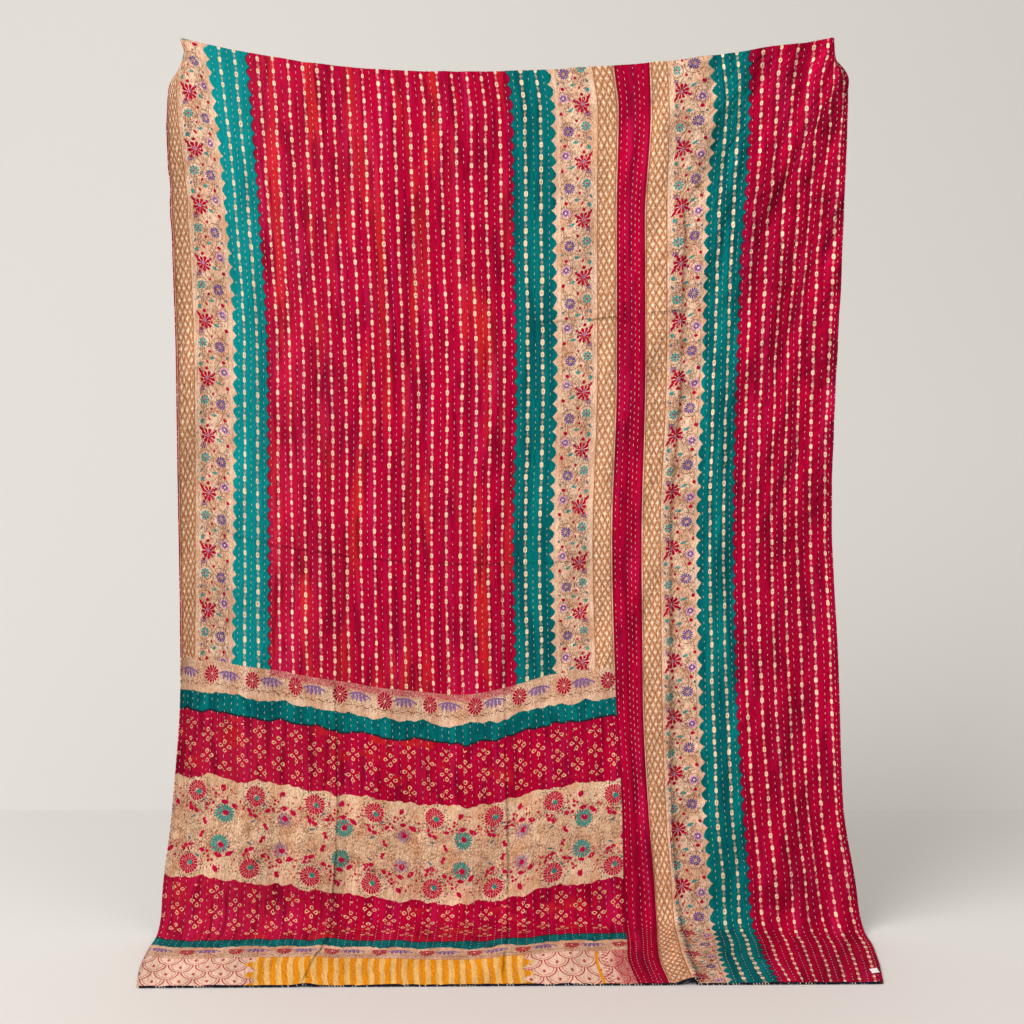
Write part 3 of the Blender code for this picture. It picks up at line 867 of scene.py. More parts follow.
def stripCloth():
    look, across, _ = startCloth("redMarginPrint")
    colour = crimsonGround(look, 0.1)
    # darker towards both edges, at the seams: painted shade
    edge = look.inside(look.absolute(across - 33.0) - 29.0, 5.0)
    colour = look.tint(edge * 0.75, colour, "darkCrimson")
    # darker down the middle, in the strip's fold: painted shade
    troughShade = look.inside(6.0 - look.absolute(across - 34.0), 8.0)
    colour = look.tint(troughShade * 0.5, colour, "darkCrimson")
    return quilted(look, colour, ("lower",))


def endCreamCloth():  # florets and drooping sprigs in turn
    look, across, along = startCloth("floretBandPrint")
    pitch = 105.0
    place = (along - 113.0) * (1 / pitch) + 0.5
    cell = look.maths("FLOOR", place)
    x = (place - cell - 0.5) * pitch + look.drift(3.0, 12.0, 12.0, 2.0)
    y = across - 29.0 + look.drift(3.0, 12.0, 12.0, 6.0)
    colour = creamGround(look)
    bleed = look.inside(16.0 - across, 8.0) * look.inside(289.0 - look.absolute(look.flat - 526.0), 6.0)
    rough = look.inside(look.grain(3.0, 4.0, 4.0) - 0.48, 0.2)
    colour = look.tint(bleed * (rough * 0.45 + 0.40), colour, "magenta")
    scribble = look.absolute(y - 21.0 + 2.5 * look.maths("SINE", x * 0.28))
    dashes = look.inside(look.noise(x, y, 4.0, 5.0, 9.0) - 0.50, 0.1)
    colour = look.tint(look.inside(1.3 - scribble) * dashes, colour, "brown")
    specks = look.inside(look.grain(3.0, 3.0, 5.0) - 0.60, 0.06)
    colour = look.tint(specks * 0.7, colour, "brown")
    floret = look.petals(x + 24.0, y * 0.88, 18.0, 14, 1.5, 0.26)
    heart = look.disc(x + 24.0, y, 2.2)
    colour = look.tint(floret, colour, "printRed")
    colour = look.tint(heart * 0.8, colour, "paleCream")
    bow = (x - 20.0) * 0.045
    stem = look.inside(2.3 - look.absolute(y + 9.0 - bow * bow * 6.0), 1.2)
    leaves = stem * look.inside(27.0 - look.absolute(x - 22.0), 1.0)
    sprig = ((6.0, 105.0, 19.0), (15.0, 98.0, 23.0), (24.0, 84.0, 23.0), (33.0, 74.0, 20.0))
    for at, lean, length in sprig:
        leaves = look.either(leaves, look.leaf(x - at, y - 1.0, length, 7.6, lean))
    colour = look.tint(leaves * 0.9, colour, "grape")
    return quilted(look, colour, ("left", "middle"), 1.6)


def wavyEdge(look, seed, height):  # an uneven edge between two end bands
    long = look.noise(look.flat, look.flat, 62.0, 9000.0, seed) - 0.5
    short = look.noise(look.flat, look.flat, 19.0, 9000.0, seed + 3.0) - 0.5
    return long * height + short * (height * 0.4)


def endTealCloth():
    look, across, _ = startCloth("tealEndPrint")
    creamEdge = across - 12.0 + wavyEdge(look, 1.0, 24.0)
    redEdge = across - 55.0 + wavyEdge(look, 5.0, 22.0)
    teal = look.grain(18.0, 60.0, 3.1, 2.0)
    colour = look.tint(look.inside(teal - 0.5, 0.24), "teal", "deepTeal")
    colour = look.tint(look.inside(-creamEdge), colour, creamGround(look))
    colour = look.tint(look.inside(redEdge), colour, crimsonGround(look))
    outline = look.inside(2.2 - look.absolute(redEdge + 0.8), 1.8)
    colour = look.tint(outline * 0.95, colour, "ink")
    return quilted(look, colour, ("left", "middle"))


def endCrimsonCloth():  # four small rings round a cross, in half-drop rows
    look, across, along = startCloth("ringMotifPrint")
    pitchX, pitchY, arm = 43.6, 47.0, 9.9
    column = look.maths("ROUND", (along - 37.0) * (1 / pitchX))
    x = along - 37.0 - column * pitchX
    half = look.maths("FRACT", look.absolute(column) * 0.5) * pitchY
    y = across + half
    row = look.maths("ROUND", y * (1 / pitchY))
    y = y - row * pitchY
    number = column * 13.0 + row
    x = x + (look.chance(number, 0.2) - 0.5) * 3.0 + look.drift(4.5, 11.0, 11.0, 1.0)
    y = y + (look.chance(number, 0.6) - 0.5) * 3.0 + look.drift(4.5, 11.0, 11.0, 4.0)
    ax = look.absolute(x)
    ay = look.absolute(y)
    outwards = look.maths("MAXIMUM", ax, ay)
    aside = look.maths("MINIMUM", ax, ay)
    narrow = look.maths("MAXIMUM", (arm - outwards) * 0.22, 0.0) + 1.0
    ring = look.reach((outwards - arm) * 0.82, aside * narrow)
    rings = look.inside(0.95 - look.absolute(ring - 3.3), 1.0)
    colour = crimsonGround(look, 0.1)
    warm = look.grain(90.0, 46.0, 12.0, 2.0)
    colour = look.tint(look.inside(warm - 0.68, 0.16) * 0.5, colour, "orangeRed")
    colour = look.tint(look.inside(2.2 - ring, 1.0) * 0.35, colour, "darkCrimson")
    worn = look.grain(12.0, 12.0, 14.0) * 1.1 + 0.45
    motif = look.maths("MINIMUM", rings * worn, 1.0)
    colour = look.tint(motif, colour, "ringTan")
    return quilted(look, colour, ("left", "middle"))


rosetteChart = {  # along and from the band's nearer edge, then size
    "crimsonRosette": (-66.0, 31.0, 22.8, 20),
    "crimsonCore": (-62.5, 34.0, 5.8),
    "otherRosette": (0.0, 78.0, 21.5, 19),
    "otherCore": (2.0, 76.0, 6.4),
    "bud": (-4.0, 22.0, 18.0, 11.5, -60.0),
    "tulip": (-1.0, 53.0, 18.0, 10.5, 172.0),
    "bigLeaf": (22.0, 60.0, 21.0, 11.0, 38.0),
    "twigA": (-78.0, 71.0, 13.0, 9.5, 60.0),
    "twigB": (-67.0, 75.0, 15.0, 9.5, 15.0),
    "twigC": (-38.0, 62.0, 15.0, 9.0, -25.0),
    "twigD": (-82.0, 62.0, 10.0, 8.0, 80.0),
    "dropA": (-41.0, 101.0, 13.0, 8.5, 40.0),
    "dropB": (-44.0, 94.0, 11.0, 8.0, -30.0),
    "greenStrokeA": (-72.0, 88.0, 14.0, 5.0, -25.0),
    "greenStrokeB": (-47.0, 50.0, 12.0, 4.5, -30.0),
    "dotA": (-20.0, 37.0, 3.5),
    "dotB": (-21.0, 46.0, 3.5),
    "dotC": (-25.0, 59.0, 3.9),
    "dotD": (-13.0, 40.0, 2.9),
    "dotE": (-31.0, 52.0, 2.9),
    "dotF": (36.0, 47.0, 3.1),
    "dotG": (43.0, 55.0, 2.7),
    "dotH": (-71.0, 64.0, 3.2),
}


def endRosetteCloth():  # mirrored about the middle of the band
    look, across, along = startCloth("rosetteBandPrint")
    pitch, width, start = 139.0, 225.0, -97.0
    top = across - 15.0 + wavyEdge(look, 11.0, 26.0)
    bottom = across - (15.0 + width) + wavyEdge(look, 17.0, 26.0)
    middle = across - (15.0 + width / 2)
    y = width / 2 - look.absolute(middle)
    y = y + look.drift(5.0, 16.0, 16.0, 1.0)
    x = along + 12.0 + look.drift(5.0, 16.0, 16.0, 4.0)
    x = x + look.inside(middle, 4.0) * 5.0
    cell = look.maths("FLOOR", (x - start) * (1 / pitch))
    x = x - cell * pitch
    chart = placeChart(rosetteChart, x, y)
    mottle = look.grain(42.0, 60.0, 3.0, 2.0)
    colour = look.tint(look.inside(mottle - 0.44, 0.30), "orangeTan", "ecru")
    contour = look.grain(21.0, 7.5, 31.0, 2.0) * 7.0
    contour = look.absolute(look.maths("FRACT", contour) - 0.5)
    patchy = look.inside(look.grain(40.0, 26.0, 12.0) - 0.42, 0.2)
    contour = look.inside(0.10 - contour, 0.10) * patchy * look.inside(y - 44.0, 24.0)
    colour = look.tint(contour * 0.75, colour, "brown")
    # the brown net of veins: partly print, partly painted shade of fine wrinkles
    bent = look.drift(8.0, 4.0, 5.0, 6.6)
    vein = look.netLines((look.flat + bent) * 0.16, (look.down - bent) * 0.12)
    broken = look.inside(look.grain(21.0, 17.0, 8.0) - 0.46, 0.16)
    veinsAndWrinkleShade = look.inside(0.09 - vein, 0.09) * look.either(broken * look.inside(y - 44.0, 30.0), 0.16)
    colour = look.tint(veinsAndWrinkleShade * 0.8, colour, "brown")
    around = look.reach(*chart["crimsonRosette"][:2])
    specks = look.inside(look.grain(3.8, 4.4, 5.0) - 0.62, 0.05)
    ring = look.inside(around - 23.0, 2.0) * look.inside(38.0 - around, 8.0)
    zone = look.inside(34.0 - look.absolute(y - 52.0), 12.0)
    field = look.inside(look.grain(24.0, 19.0, 2.0) - 0.58, 0.06) * zone * 0.5
    berries = look.inside(look.grain(5.6, 6.4, 15.0) - 0.63, 0.04)
    clump = look.inside(look.grain(30.0, 24.0, 21.0) - 0.46, 0.06)
    berries = berries * clump * look.inside(look.absolute(y - 51.0) * -1.0 + 33.0, 8.0)
    colour = look.tint(specks * look.either(ring, field) * 0.9, colour, "ink")
    odd = look.maths("FRACT", look.absolute(cell) * 0.5) * 2.0
    other = look.petals(*chart["otherRosette"], 5.5, 0.20)
    smudge = look.disc(x, y - 78.0, 15.0, 9.0)
    smudge = look.maths("MINIMUM", smudge * (look.grain(5.0, 5.0, 10.0) + 0.15), 1.0)
    colour = look.tint(other * odd, colour, "flowerTeal")
    colour = look.tint(smudge * (1 - odd) * 0.85, colour, "smudge")
    green = look.either(*look.leaves(chart, "greenStrokeA", "greenStrokeB"))
    colour = look.tint(green * 0.9, colour, "blueGrey")
    red = look.either(
        look.rosette(*chart["crimsonRosette"], 4.5),
        look.disc(*chart["otherCore"]),
        *look.leaves(chart, "bud", "tulip", "bigLeaf", *("twig" + k for k in "ABCD"), "dropA", "dropB"),
        *look.discs(chart, *("dot" + k for k in "ABCDEFGH")),
    )
    colour = look.tint(look.either(red, berries), colour, "rosetteRed")
    colour = look.tint(look.disc(*chart["crimsonCore"], 1.6), colour, "flowerTeal")
    edge = look.either(look.inside(-top), look.inside(bottom))
    colour = look.tint(edge, colour, crimsonGround(look, 0.1))
    return quilted(look, colour, ("left", "middle"), 1.7)


def endStripeCloth():  # saffron stripes between two ends of plain outlined scales
    look, across, along = startCloth("stripedEndPrint")
    lean = along - across * 0.03 + look.drift(8.0, 60.0, 60.0, 2.0)
    wave = look.maths("SINE", lean * (2 * math.pi / 25.0))
    colour = look.tint(look.inside(wave + 0.1, 0.5), "paleSaffron", "saffron")
    scaleX, scaleY = 58.0, 40.0
    row = look.maths("FLOOR", across * (1 / scaleY))
    x = along * (1 / scaleX) + look.maths("FRACT", row * 0.5)
    x = (x - look.maths("ROUND", x)) * scaleX
    y = across - row * scaleY
    arch = look.reach(x, y * (0.9 * scaleX / (2 * scaleY))) - 0.45 * scaleX
    worn = look.grain(34.0, 60.0, 2.3, 2.0)
    ends = look.tint(look.inside(worn - 0.60, 0.30) * 0.6, "paperCream", "cream")
    ends = look.tint(look.inside(1.3 - look.absolute(arch), 1.0), ends, "outline")
    ends = look.tint(look.inside(0.9 - look.absolute(arch + 6.0), 1.0) * 0.7, ends, "outline")
    ends = look.tint(look.leaf(x, y - 12.0, 17.0, 7.0, 90.0) * 0.9, ends, "outline")
    bite = 12.0 * look.maths("SINE", across * 0.11)
    plain = look.inside(235.0 + bite - along, 2.0)
    plain = look.either(plain, look.inside(along - 838.0 + bite, 2.0))
    colour = look.tint(plain, colour, ends)
    line = look.inside(3.2 - look.absolute(along - 984.0), 1.2)
    colour = look.tint(line, colour, "saffron")
    zigzag = look.absolute(look.maths("FRACT", across * (1 / 15.0)) - 0.5) * 24.0
    chevron = look.inside(2.0 - look.absolute(along - 996.0 - zigzag), 1.0)
    colour = look.tint(chevron * look.inside(along - 990.0), colour, "outline")
    fade = look.inside(along - 1018.0, 14.0) * (look.grain(4.0, 9.0, 6.0) * 0.5 + 0.45)
    colour = look.tint(fade, colour, "outline")
    top = look.inside(2.0 - across, 2.0)
    colour = look.tint(top * 0.6, colour, "outline")
    return quilted(look, colour, ("left", "middle"))


def backingLook():
    look = clothLook("navyBacking")
    fade = look.grain(120.0, 200.0, 2.0, 2.0)
    colour = look.tint(look.inside(fade - 0.5, 0.5) * 0.5, "navy", "ink")
    return quilted(look, colour, ("upper", "lower", "left", "middle"))


def threadLook(name, colours):  # tones are picked by each stitch's own number
    look = Look(name)
    tone = look.node("ShaderNodeAttribute", {"attribute_name": "threadTone"}, {}, 2)
    colour = colours[0]
    for i, above in enumerate(colours[1:]):
        colour = look.tint(look.inside(tone - (i + 1) / len(colours), 0.02), colour, above)
    colour = look.shade(colour, look.maths("FRACT", tone * 37.0) * 0.22 + 0.84)
    place = look.node("ShaderNodeTexCoord", {}, {}, 3)
    grain = look.node("ShaderNodeTexNoise", {}, {"Vector": place, "Scale": 900.0, "Detail": 1.0})
    return look.finish(colour, grain * 0.15, 0.75)


def labelLook():
    look = clothLook("blankTape")
    thread = 2 * math.pi / 0.8  # one thread each 0.8 mm
    weave = look.maths("SINE", look.flat * thread) * look.maths("SINE", look.down * thread)
    colour = look.shade("label", look.grain(3.0, 3.0) * 0.16 + 0.88)
    return look.finish(colour, weave * 0.08, 0.75)


# cloth pieces

printBands = {  # across the cloth: from, to, look, where its pattern starts, which way it runs
    "latticeLeft": (0.000, 0.049, "lattice", 0.049, -1, 1),
    "flowersLeft": (0.049, 0.135, "flower", 0.143, -1, 1),
    "tealLeft": (0.135, 0.243, "teal", 0.143, 1, 1),
    "field": (0.243, 0.809, "dotted", 0.237, 1, 1),
    "tealMiddle": (0.809, 0.917, "teal", 0.909, -1, 1),
    "flowersMiddle": (0.917, 1.003, "flower", 0.909, 1, 1),
    "latticeMiddle": (1.003, 1.052, "lattice", 1.003, 1, 1),
    "margin": (1.052, 1.119, "strip", 1.052, 1, 1),
    "latticeRight": (1.119, 1.168, "lattice", 1.168, -1, 1),
    "flowersRight": (1.168, 1.254, "flower", 1.262, -1, -1),
    "tealRight": (1.254, 1.362, "teal", 1.262, 1, 1),
    "fieldRight": (1.362, 1.594, "dotted", 1.356, 1, 1),
}
bandShifts = {"flowersLeft": 0.012, "flowersMiddle": 0.047, "flowersRight": 0.070}
endBands = {  # down the cloth: from, to, look, where its pattern starts, which way it runs
    "floretsUpper": (1.380, 1.438, "endCream", 1.380, 1),
    "tealUpper": (1.438, 1.508, "endTeal", 1.438, 1),
    "ringsUpper": (1.508, 1.622, "endCrimson", 1.520, 1),
    "rosettes": (1.622, 1.877, "endRosette", 1.622, 1),
    "ringsLower": (1.877, 1.990, "endCrimson", 1.890, 1),
    "tealLower": (1.990, 2.076, "endTeal", 2.073, -1),
    "floretsLower": (2.076, 2.125, "endCream", 2.058, 1),
    "stripes": (2.125, 2.280, "endStripe", 2.125, 1),
}
endSlant = {  # the end bands aren't printed square: flat, then how much lower they run
    0.000: -0.014, 0.080: 0.005, 0.250: -0.002, 0.525: 0.010,
    0.690: 0.018, 0.800: 0.002, 0.910: -0.024, 1.052: -0.032,
}
slantRange = (1.10, 1.37)  # the rows of the mesh lean over to follow them between these
slantOut = 2.13  # and straighten from here to the bottom edge
mesh = {"columnStep": 0.0061, "rowStep": 0.0103}  # three columns from one stitched row to the next


def printDown(flat, row):  # distance down of a printed row, from its number
    slant = smoothThrough(list(endSlant), list(endSlant.values()), flat)
    lean = easeUp(row, *slantRange) * (1 - easeUp(row, slantOut, quilt["length"]))
    return row + slant * lean


def spread(stops, step):  # numbers between the stops, evenly and at least as close as step
    found = []
    for a, b in zip(stops[:-1], stops[1:]):
        count = max(1, math.ceil((b - a) / step - 1e-6))
        found.extend(np.linspace(a, b, count, endpoint=False))
    return np.array(found + [stops[-1]])


def gridMesh(name, points, facesFront):
    rows, columns = points.shape[:2]
    index = np.arange(rows * columns).reshape(rows, columns)
    corners = [index[:-1, :-1], index[1:, :-1], index[1:, 1:], index[:-1, 1:]]
    if not facesFront:
        corners.reverse()
    faces = np.stack(corners, axis=-1).reshape(-1, 4)
    made = bpy.data.meshes.new(name)
    made.from_pydata(points.reshape(-1, 3).tolist(), [], faces.tolist())
    made.shade_smooth()
    return addObject(name, made)


def setUv(piece, name, corners):  # corners: rows, columns, 4, 2
    layer = piece.data.uv_layers.new(name=name)
    layer.uv.foreach_set("vector", corners.astype(np.float32).ravel())


def cornerValues(values, facesFront=True):
    found = [values[:-1, :-1], values[1:, :-1], values[1:, 1:], values[:-1, 1:]]
    if not facesFront:
        found.reverse()
    return np.stack(found, axis=-1)


def thicken(piece, thickness):
    shell = piece.modifiers.new("clothThickness", "SOLIDIFY")
    shell.thickness = thickness
    shell.offset = -1.0
    return piece


rim = {"radius": 0.00155, "steps": 5, "turnIn": 0.0024, "backRow": 0.0150}


def rimProfile(radius):  # outwards and round, from one face of the quilt to the other
    angle = np.linspace(0.0, math.pi, rim["steps"] + 1)[1:]
    outwards = np.append(radius * np.sin(angle), -rim["turnIn"])
    around = np.append(radius * (1 - np.cos(angle)), 2 * radius)
    return outwards, around


def pleatSqueeze(flat, row):  # the print skips what the pleat hides, so that its motifs stay whole
    shift = np.zeros_like(flat)
    for i, down in enumerate(row[:, 0]):
        front, back, strength = pleatAt(down)
        share = np.clip((flat[i] - front) / (back - front), 0.0, 1.0)
        shift[i] = strength * pleat["hidden"] * (share - 0.5)
    return shift


panelEdge = {"first": 0.0015, "sewnFrom": 0.004, "dipWidth": 0.005, "seamDip": 0.0009, "hemDip": 0.0008}


def sariPanel(name, first, last, hasEnd, looks):
    e = panelEdge
    bands = {k: v for k, v in printBands.items() if first - 0.001 <= v[0] < last}
    ends = list(endBands.values()) if hasEnd else []
    sewn = rowFlats[(rowFlats > first + e["sewnFrom"]) & (rowFlats < last - e["sewnFrom"])]
    flats = spread([first + e["first"], *sewn, last - e["first"]], mesh["columnStep"])
    flats = np.concatenate([[first], flats, [last]])
    rows = spread([0.0, *(v[0] for v in ends), quilt["length"]], mesh["rowStep"])
    extra = [v[i] + d for v in foldLines.values() for i in (0, 1) for d in (-0.004, 0.004)]
    rows = np.unique(np.concatenate([rows, extra, [e["first"], quilt["length"] - e["first"]]]))

    # the outer edge and the top edge turn round to the back
    outwards, around = rimProfile(rim["radius"])
    turns = len(outwards)
    leftTurn, rightTurn = (turns, 0) if first == 0.0 else (0, turns)
    flats = np.concatenate([[first] * leftTurn, flats, [last] * rightTurn])
    rows = np.concatenate([[0.0] * turns, rows])
    flat, row = np.meshgrid(flats, rows)
    flat = flat - rowDrift(flat, row)
    down = printDown(flat, row) if hasEnd else row
    aside = np.zeros_like(flat)
    backwards = np.zeros_like(flat)
    upwards = np.zeros_like(flat)
    if leftTurn:
        aside[:, :turns] = -outwards[::-1]
        backwards[:, :turns] = around[::-1]
    else:
        aside[:, -turns:] = outwards
        backwards[:, -turns:] = around
    upwards[:turns] = outwards[::-1, None]
    backwards[:turns] = np.maximum(backwards[:turns], around[::-1, None])
    seamEdge = last - flat if leftTurn else flat - first
    dip = e["seamDip"] * ridge(seamEdge, e["dipWidth"])
    dip = dip + e["hemDip"] * ridge(quilt["length"] - row, e["dipWidth"])
    puff = np.where(backwards > 0, 0.0, quilting["puff"])
    points = onCloth(flat, down, quilt["frontLift"] - dip - backwards, puff)
    points = points + unit(readGrid(gridAcross, flat, down)) * aside[..., None]
    points = points - unit(readGrid(gridDown, flat, down)) * upwards[..., None]
    piece = gridMesh(name, points, True)

    names = sorted({v[2] for v in (*bands.values(), *ends)})
    for lookName in names:
        piece.data.materials.append(looks[lookName])
    cellFlat = (flats[:-1] + flats[1:]) / 2
    cellRow = (rows[:-1] + rows[1:]) / 2
    flatCorner = cornerValues(flat)
    rowCorner = cornerValues(row)
    across = np.zeros_like(flatCorner)
    along = np.zeros_like(flatCorner)
    slot = np.zeros(flatCorner.shape[:2], int)
    for key, (low, high, lookName, origin, acrossWay, alongWay) in bands.items():
        columns = (cellFlat > low) & (cellFlat < high)
        across[:, columns] = acrossWay * (flatCorner[:, columns] - origin)
        along[:, columns] = alongWay * rowCorner[:, columns] + bandShifts.get(key, 0.0)
        if key == "flowersRight":
            across[:, columns] += cornerValues(pleatSqueeze(flat, row))[:, columns]
        slot[:, columns] = names.index(lookName)
    for low, high, lookName, origin, way in ends:
        lines = (cellRow > low) & (cellRow < high)
        across[lines] = way * (rowCorner[lines] - origin)
        along[lines] = flatCorner[lines]
        slot[lines] = names.index(lookName)
    setUv(piece, "cloth", np.stack([flatCorner, rowCorner], axis=-1))
    setUv(piece, "band", np.stack([across, along], axis=-1))
    betweenRows = cornerValues(puffAt(flat, down))
    setUv(piece, "rows", np.stack([betweenRows, betweenRows], axis=-1))
    piece.data.polygons.foreach_set("material_index", slot.ravel())
    return thicken(piece, quilt["clothThickness"])


reverse = {"inset": 0.0030, "hemRadius": 0.0018, "hemWave": 0.22, "waveSize": 0.02, "thickness": 0.0009}


def backingPiece(material):
    r = reverse
    flats = spread([r["inset"], *rowFlats, quiltWidth - r["inset"]], mesh["columnStep"])
    downs = spread([r["inset"], quilt["length"]], rim["backRow"])
    outDown, forwardDown = rimProfile(r["hemRadius"])
    downs = np.append(downs, [quilt["length"]] * len(outDown))
    flat, down = np.meshgrid(flats, downs)
    flat = flat - rowDrift(flat, down)
    rise = np.zeros_like(flat)
    out = np.zeros_like(flat)
    rise[-len(outDown):] = forwardDown[:, None]
    out[-len(outDown):] = outDown[:, None]
    wave = 1 + r["hemWave"] * softNoise(flat, down, r["waveSize"], r["waveSize"], 23)
    puff = np.where(rise > 0, 0.0, -quilting["puff"])
    points = onCloth(flat, down, quilt["backLift"] + rise * wave, puff)
    points = points + unit(readGrid(gridDown, flat, down)) * (out * wave)[..., None]
    points[..., 2] = np.maximum(points[..., 2], hang["floor"])
    piece = gridMesh("backingClothPiece", points, False)
    piece.data.materials.append(material)
    uv = np.stack([cornerValues(flat, False), cornerValues(down, False)], axis=-1)
    setUv(piece, "cloth", uv)
    setUv(piece, "rows", np.ones_like(uv))
    return thicken(piece, r["thickness"])


# stitches, by geometry nodes

running = {
    "pitch": 0.0144,
    "length": 0.0060,
    "width": 0.00085,
    "height": 0.0005,
    "leftOut": 0.08,
    "sizeSpread": 0.22,
    "turnSpread": 0.12,
    "stagger": 0.37,  # of a pitch, from one row to the next
    "edgeGap": 0.006,
    "guideStep": 0.012,
}
whipping = {
    "pitch": 0.0058,
    "width": 0.0016,
    "leftOut": 0.06,
    "sizeSpread": 0.15,
    "turnSpread": 0.30,
    "cornerGap": 0.003,
    "sideSteps": 460,
    "endSteps": 320,
}


def stitchShape(name, stations, halfWidth):  # a low arched thread along Y, three points across
    points = []
    for y, z, share in stations:
        for a in (0.0, math.pi / 2, math.pi):
            points.append((-halfWidth * share * math.cos(a), y, z * math.sin(a)))
    faces = []
    for r in range(len(stations) - 1):
        faces.extend((k, k + 1, k + 4, k + 3) for k in (3 * r, 3 * r + 1))
    made = bpy.data.meshes.new(name)
    made.from_pydata(points, [], faces)
    made.shade_smooth()
    shape = addObject(name, made)
    shape.hide_render = True
    return shape


def stitchTree():
    tree = bpy.data.node_groups.new("stitchesAlongRows", "GeometryNodeTree")
    for name, kind in (
        ("Rows", "NodeSocketGeometry"), ("Pitch", "NodeSocketFloat"), ("Left Out", "NodeSocketFloat"),
        ("Size Spread", "NodeSocketFloat"), ("Turn Spread", "NodeSocketFloat"),
        ("Seed", "NodeSocketInt"), ("Stitch", "NodeSocketObject"), ("Thread", "NodeSocketMaterial"),
    ):
        tree.interface.new_socket(name=name, in_out="INPUT", socket_type=kind)
    tree.interface.new_socket(name="Stitches", in_out="OUTPUT", socket_type="NodeSocketGeometry")
    start = tree.nodes.new("NodeGroupInput").outputs

    def add(kind, settings, values):
        made = tree.nodes.new(kind)
        for key, value in settings.items():
            setattr(made, key, value)
        for key, value in values.items():
            if isinstance(value, bpy.types.NodeSocket):
                tree.links.new(value, made.inputs[key])
            else:
                made.inputs[key].default_value = value
        return made.outputs

    def maths(operation, *values):
        return add("ShaderNodeMath", {"operation": operation}, dict(enumerate(values)))[0]

    def randomValue(low, high, shift):
        seed = maths("ADD", start["Seed"], shift)
        return add("FunctionNodeRandomValue", {"data_type": "FLOAT"}, {2: low, 3: high, "Seed": seed})[1]

    curves = add("GeometryNodeMeshToCurve", {}, {0: start["Rows"]})[0]
    curves = add("GeometryNodeResampleCurve", {"mode": "LENGTH"}, {0: curves, "Length": start["Pitch"]})[0]
    normal = add("GeometryNodeInputNamedAttribute", {"data_type": "FLOAT_VECTOR"}, {0: "stitchUp"})[0]
    along = add("GeometryNodeInputTangent", {}, {})[0]
    turn = add("FunctionNodeAlignRotationToVector", {"axis": "Z"}, {"Vector": normal})[0]
    turn = add(
        "FunctionNodeAlignRotationToVector", {"axis": "Y", "pivot_axis": "Z"},
        {"Rotation": turn, "Vector": along},
    )[0]
    lean = maths("MULTIPLY", start["Turn Spread"], randomValue(-1.0, 1.0, 1))
    leanTurn = add("FunctionNodeAxisAngleToRotation", {}, {"Axis": (0, 0, 1), "Angle": lean})[0]
    turn = add("FunctionNodeRotateRotation", {"rotation_space": "LOCAL"}, {0: turn, 1: leanTurn})[0]
    spreadBy = maths("MULTIPLY_ADD", start["Size Spread"], randomValue(-1.0, 1.0, 2), 1.0)
    size = add("ShaderNodeCombineXYZ", {}, {0: 1.0, 1: spreadBy, 2: 1.0})[0]
    kept = add(
        "FunctionNodeCompare", {"data_type": "FLOAT", "operation": "GREATER_THAN"},
        {0: randomValue(0.0, 1.0, 3), 1: start["Left Out"]},
    )[0]
    shape = add("GeometryNodeObjectInfo", {}, {"Object": start["Stitch"]})["Geometry"]
    placed = add(
        "GeometryNodeInstanceOnPoints", {},
        {"Points": curves, "Selection": kept, "Instance": shape, "Rotation": turn, "Scale": size},
    )[0]
    placed = add(
        "GeometryNodeStoreNamedAttribute", {"data_type": "FLOAT", "domain": "INSTANCE"},
        {"Geometry": placed, "Name": "threadTone", "Value": randomValue(0.0, 1.0, 4)},
    )[0]
    real = add("GeometryNodeRealizeInstances", {}, {0: placed})[0]
    done = add("GeometryNodeSetMaterial", {}, {0: real, "Material": start["Thread"]})[0]
    end = tree.nodes.new("NodeGroupOutput")
    tree.links.new(done, end.inputs[0])
    return tree


def sewAlong(name, tree, lines, ups, shape, thread, settings, seed):
    points = np.concatenate(lines)
    edges = []
    first = 0
    for line in lines:
        edges.extend((first + i, first + i + 1) for i in range(len(line) - 1))
        first += len(line)
    rows = bpy.data.meshes.new(name)
    rows.from_pydata(points.tolist(), edges, [])
    attribute = rows.attributes.new("stitchUp", "FLOAT_VECTOR", "POINT")
    attribute.data.foreach_set("vector", np.concatenate(ups).astype(np.float32).ravel())
    guide = addObject(name + "Rows", rows)
    nodes = guide.modifiers.new("stitches", "NODES")
    nodes.node_group = tree
    values = {
        "Pitch": settings["pitch"], "Left Out": settings["leftOut"],
        "Size Spread": settings["sizeSpread"], "Turn Spread": settings["turnSpread"],
        "Seed": seed, "Stitch": shape, "Thread": thread,
    }
    for item in tree.interface.items_tree:
        if item.in_out == "INPUT" and item.name in values:
            nodes[item.identifier] = values[item.name]
    graph = bpy.context.evaluated_depsgraph_get()
    sewn = bpy.data.meshes.new_from_object(guide.evaluated_get(graph))
    bpy.data.objects.remove(guide)
    for vertex in sewn.vertices:
        vertex.co.z = max(vertex.co.z, hang["floor"])
    sewn.name = name
    return addObject(name, sewn)


def runningRows(first, last, lift, forward):
    lines, ups = [], []
    lastDown = quilt["length"] - running["edgeGap"]
    downs = np.arange(running["edgeGap"], lastDown, running["guideStep"])
    for i, row in enumerate(rowFlats):
        if not first < row < last:
            continue
        down = downs + (i * running["stagger"]) % 1.0 * running["pitch"]
        down = down[down < lastDown]
        flat = row - rowDrift(np.full_like(down, row), down)
        lines.append(onCloth(flat, down, lift))
        ups.append(unit(readGrid(gridNormal, flat, down)) * forward)
    return lines, ups


def edgeLines(places):  # along the turned edges, halfway round them
    lines, ups = [], []
    for flat, down, outGrid, way in places:
        outwards = unit(readGrid(outGrid, flat, down)) * way
        place = onCloth(flat, down, 0.0)
        place[..., 2] = np.maximum(place[..., 2], hang["floor"] + rim["radius"])
        lines.append(place)
        ups.append(outwards)
    return lines, ups


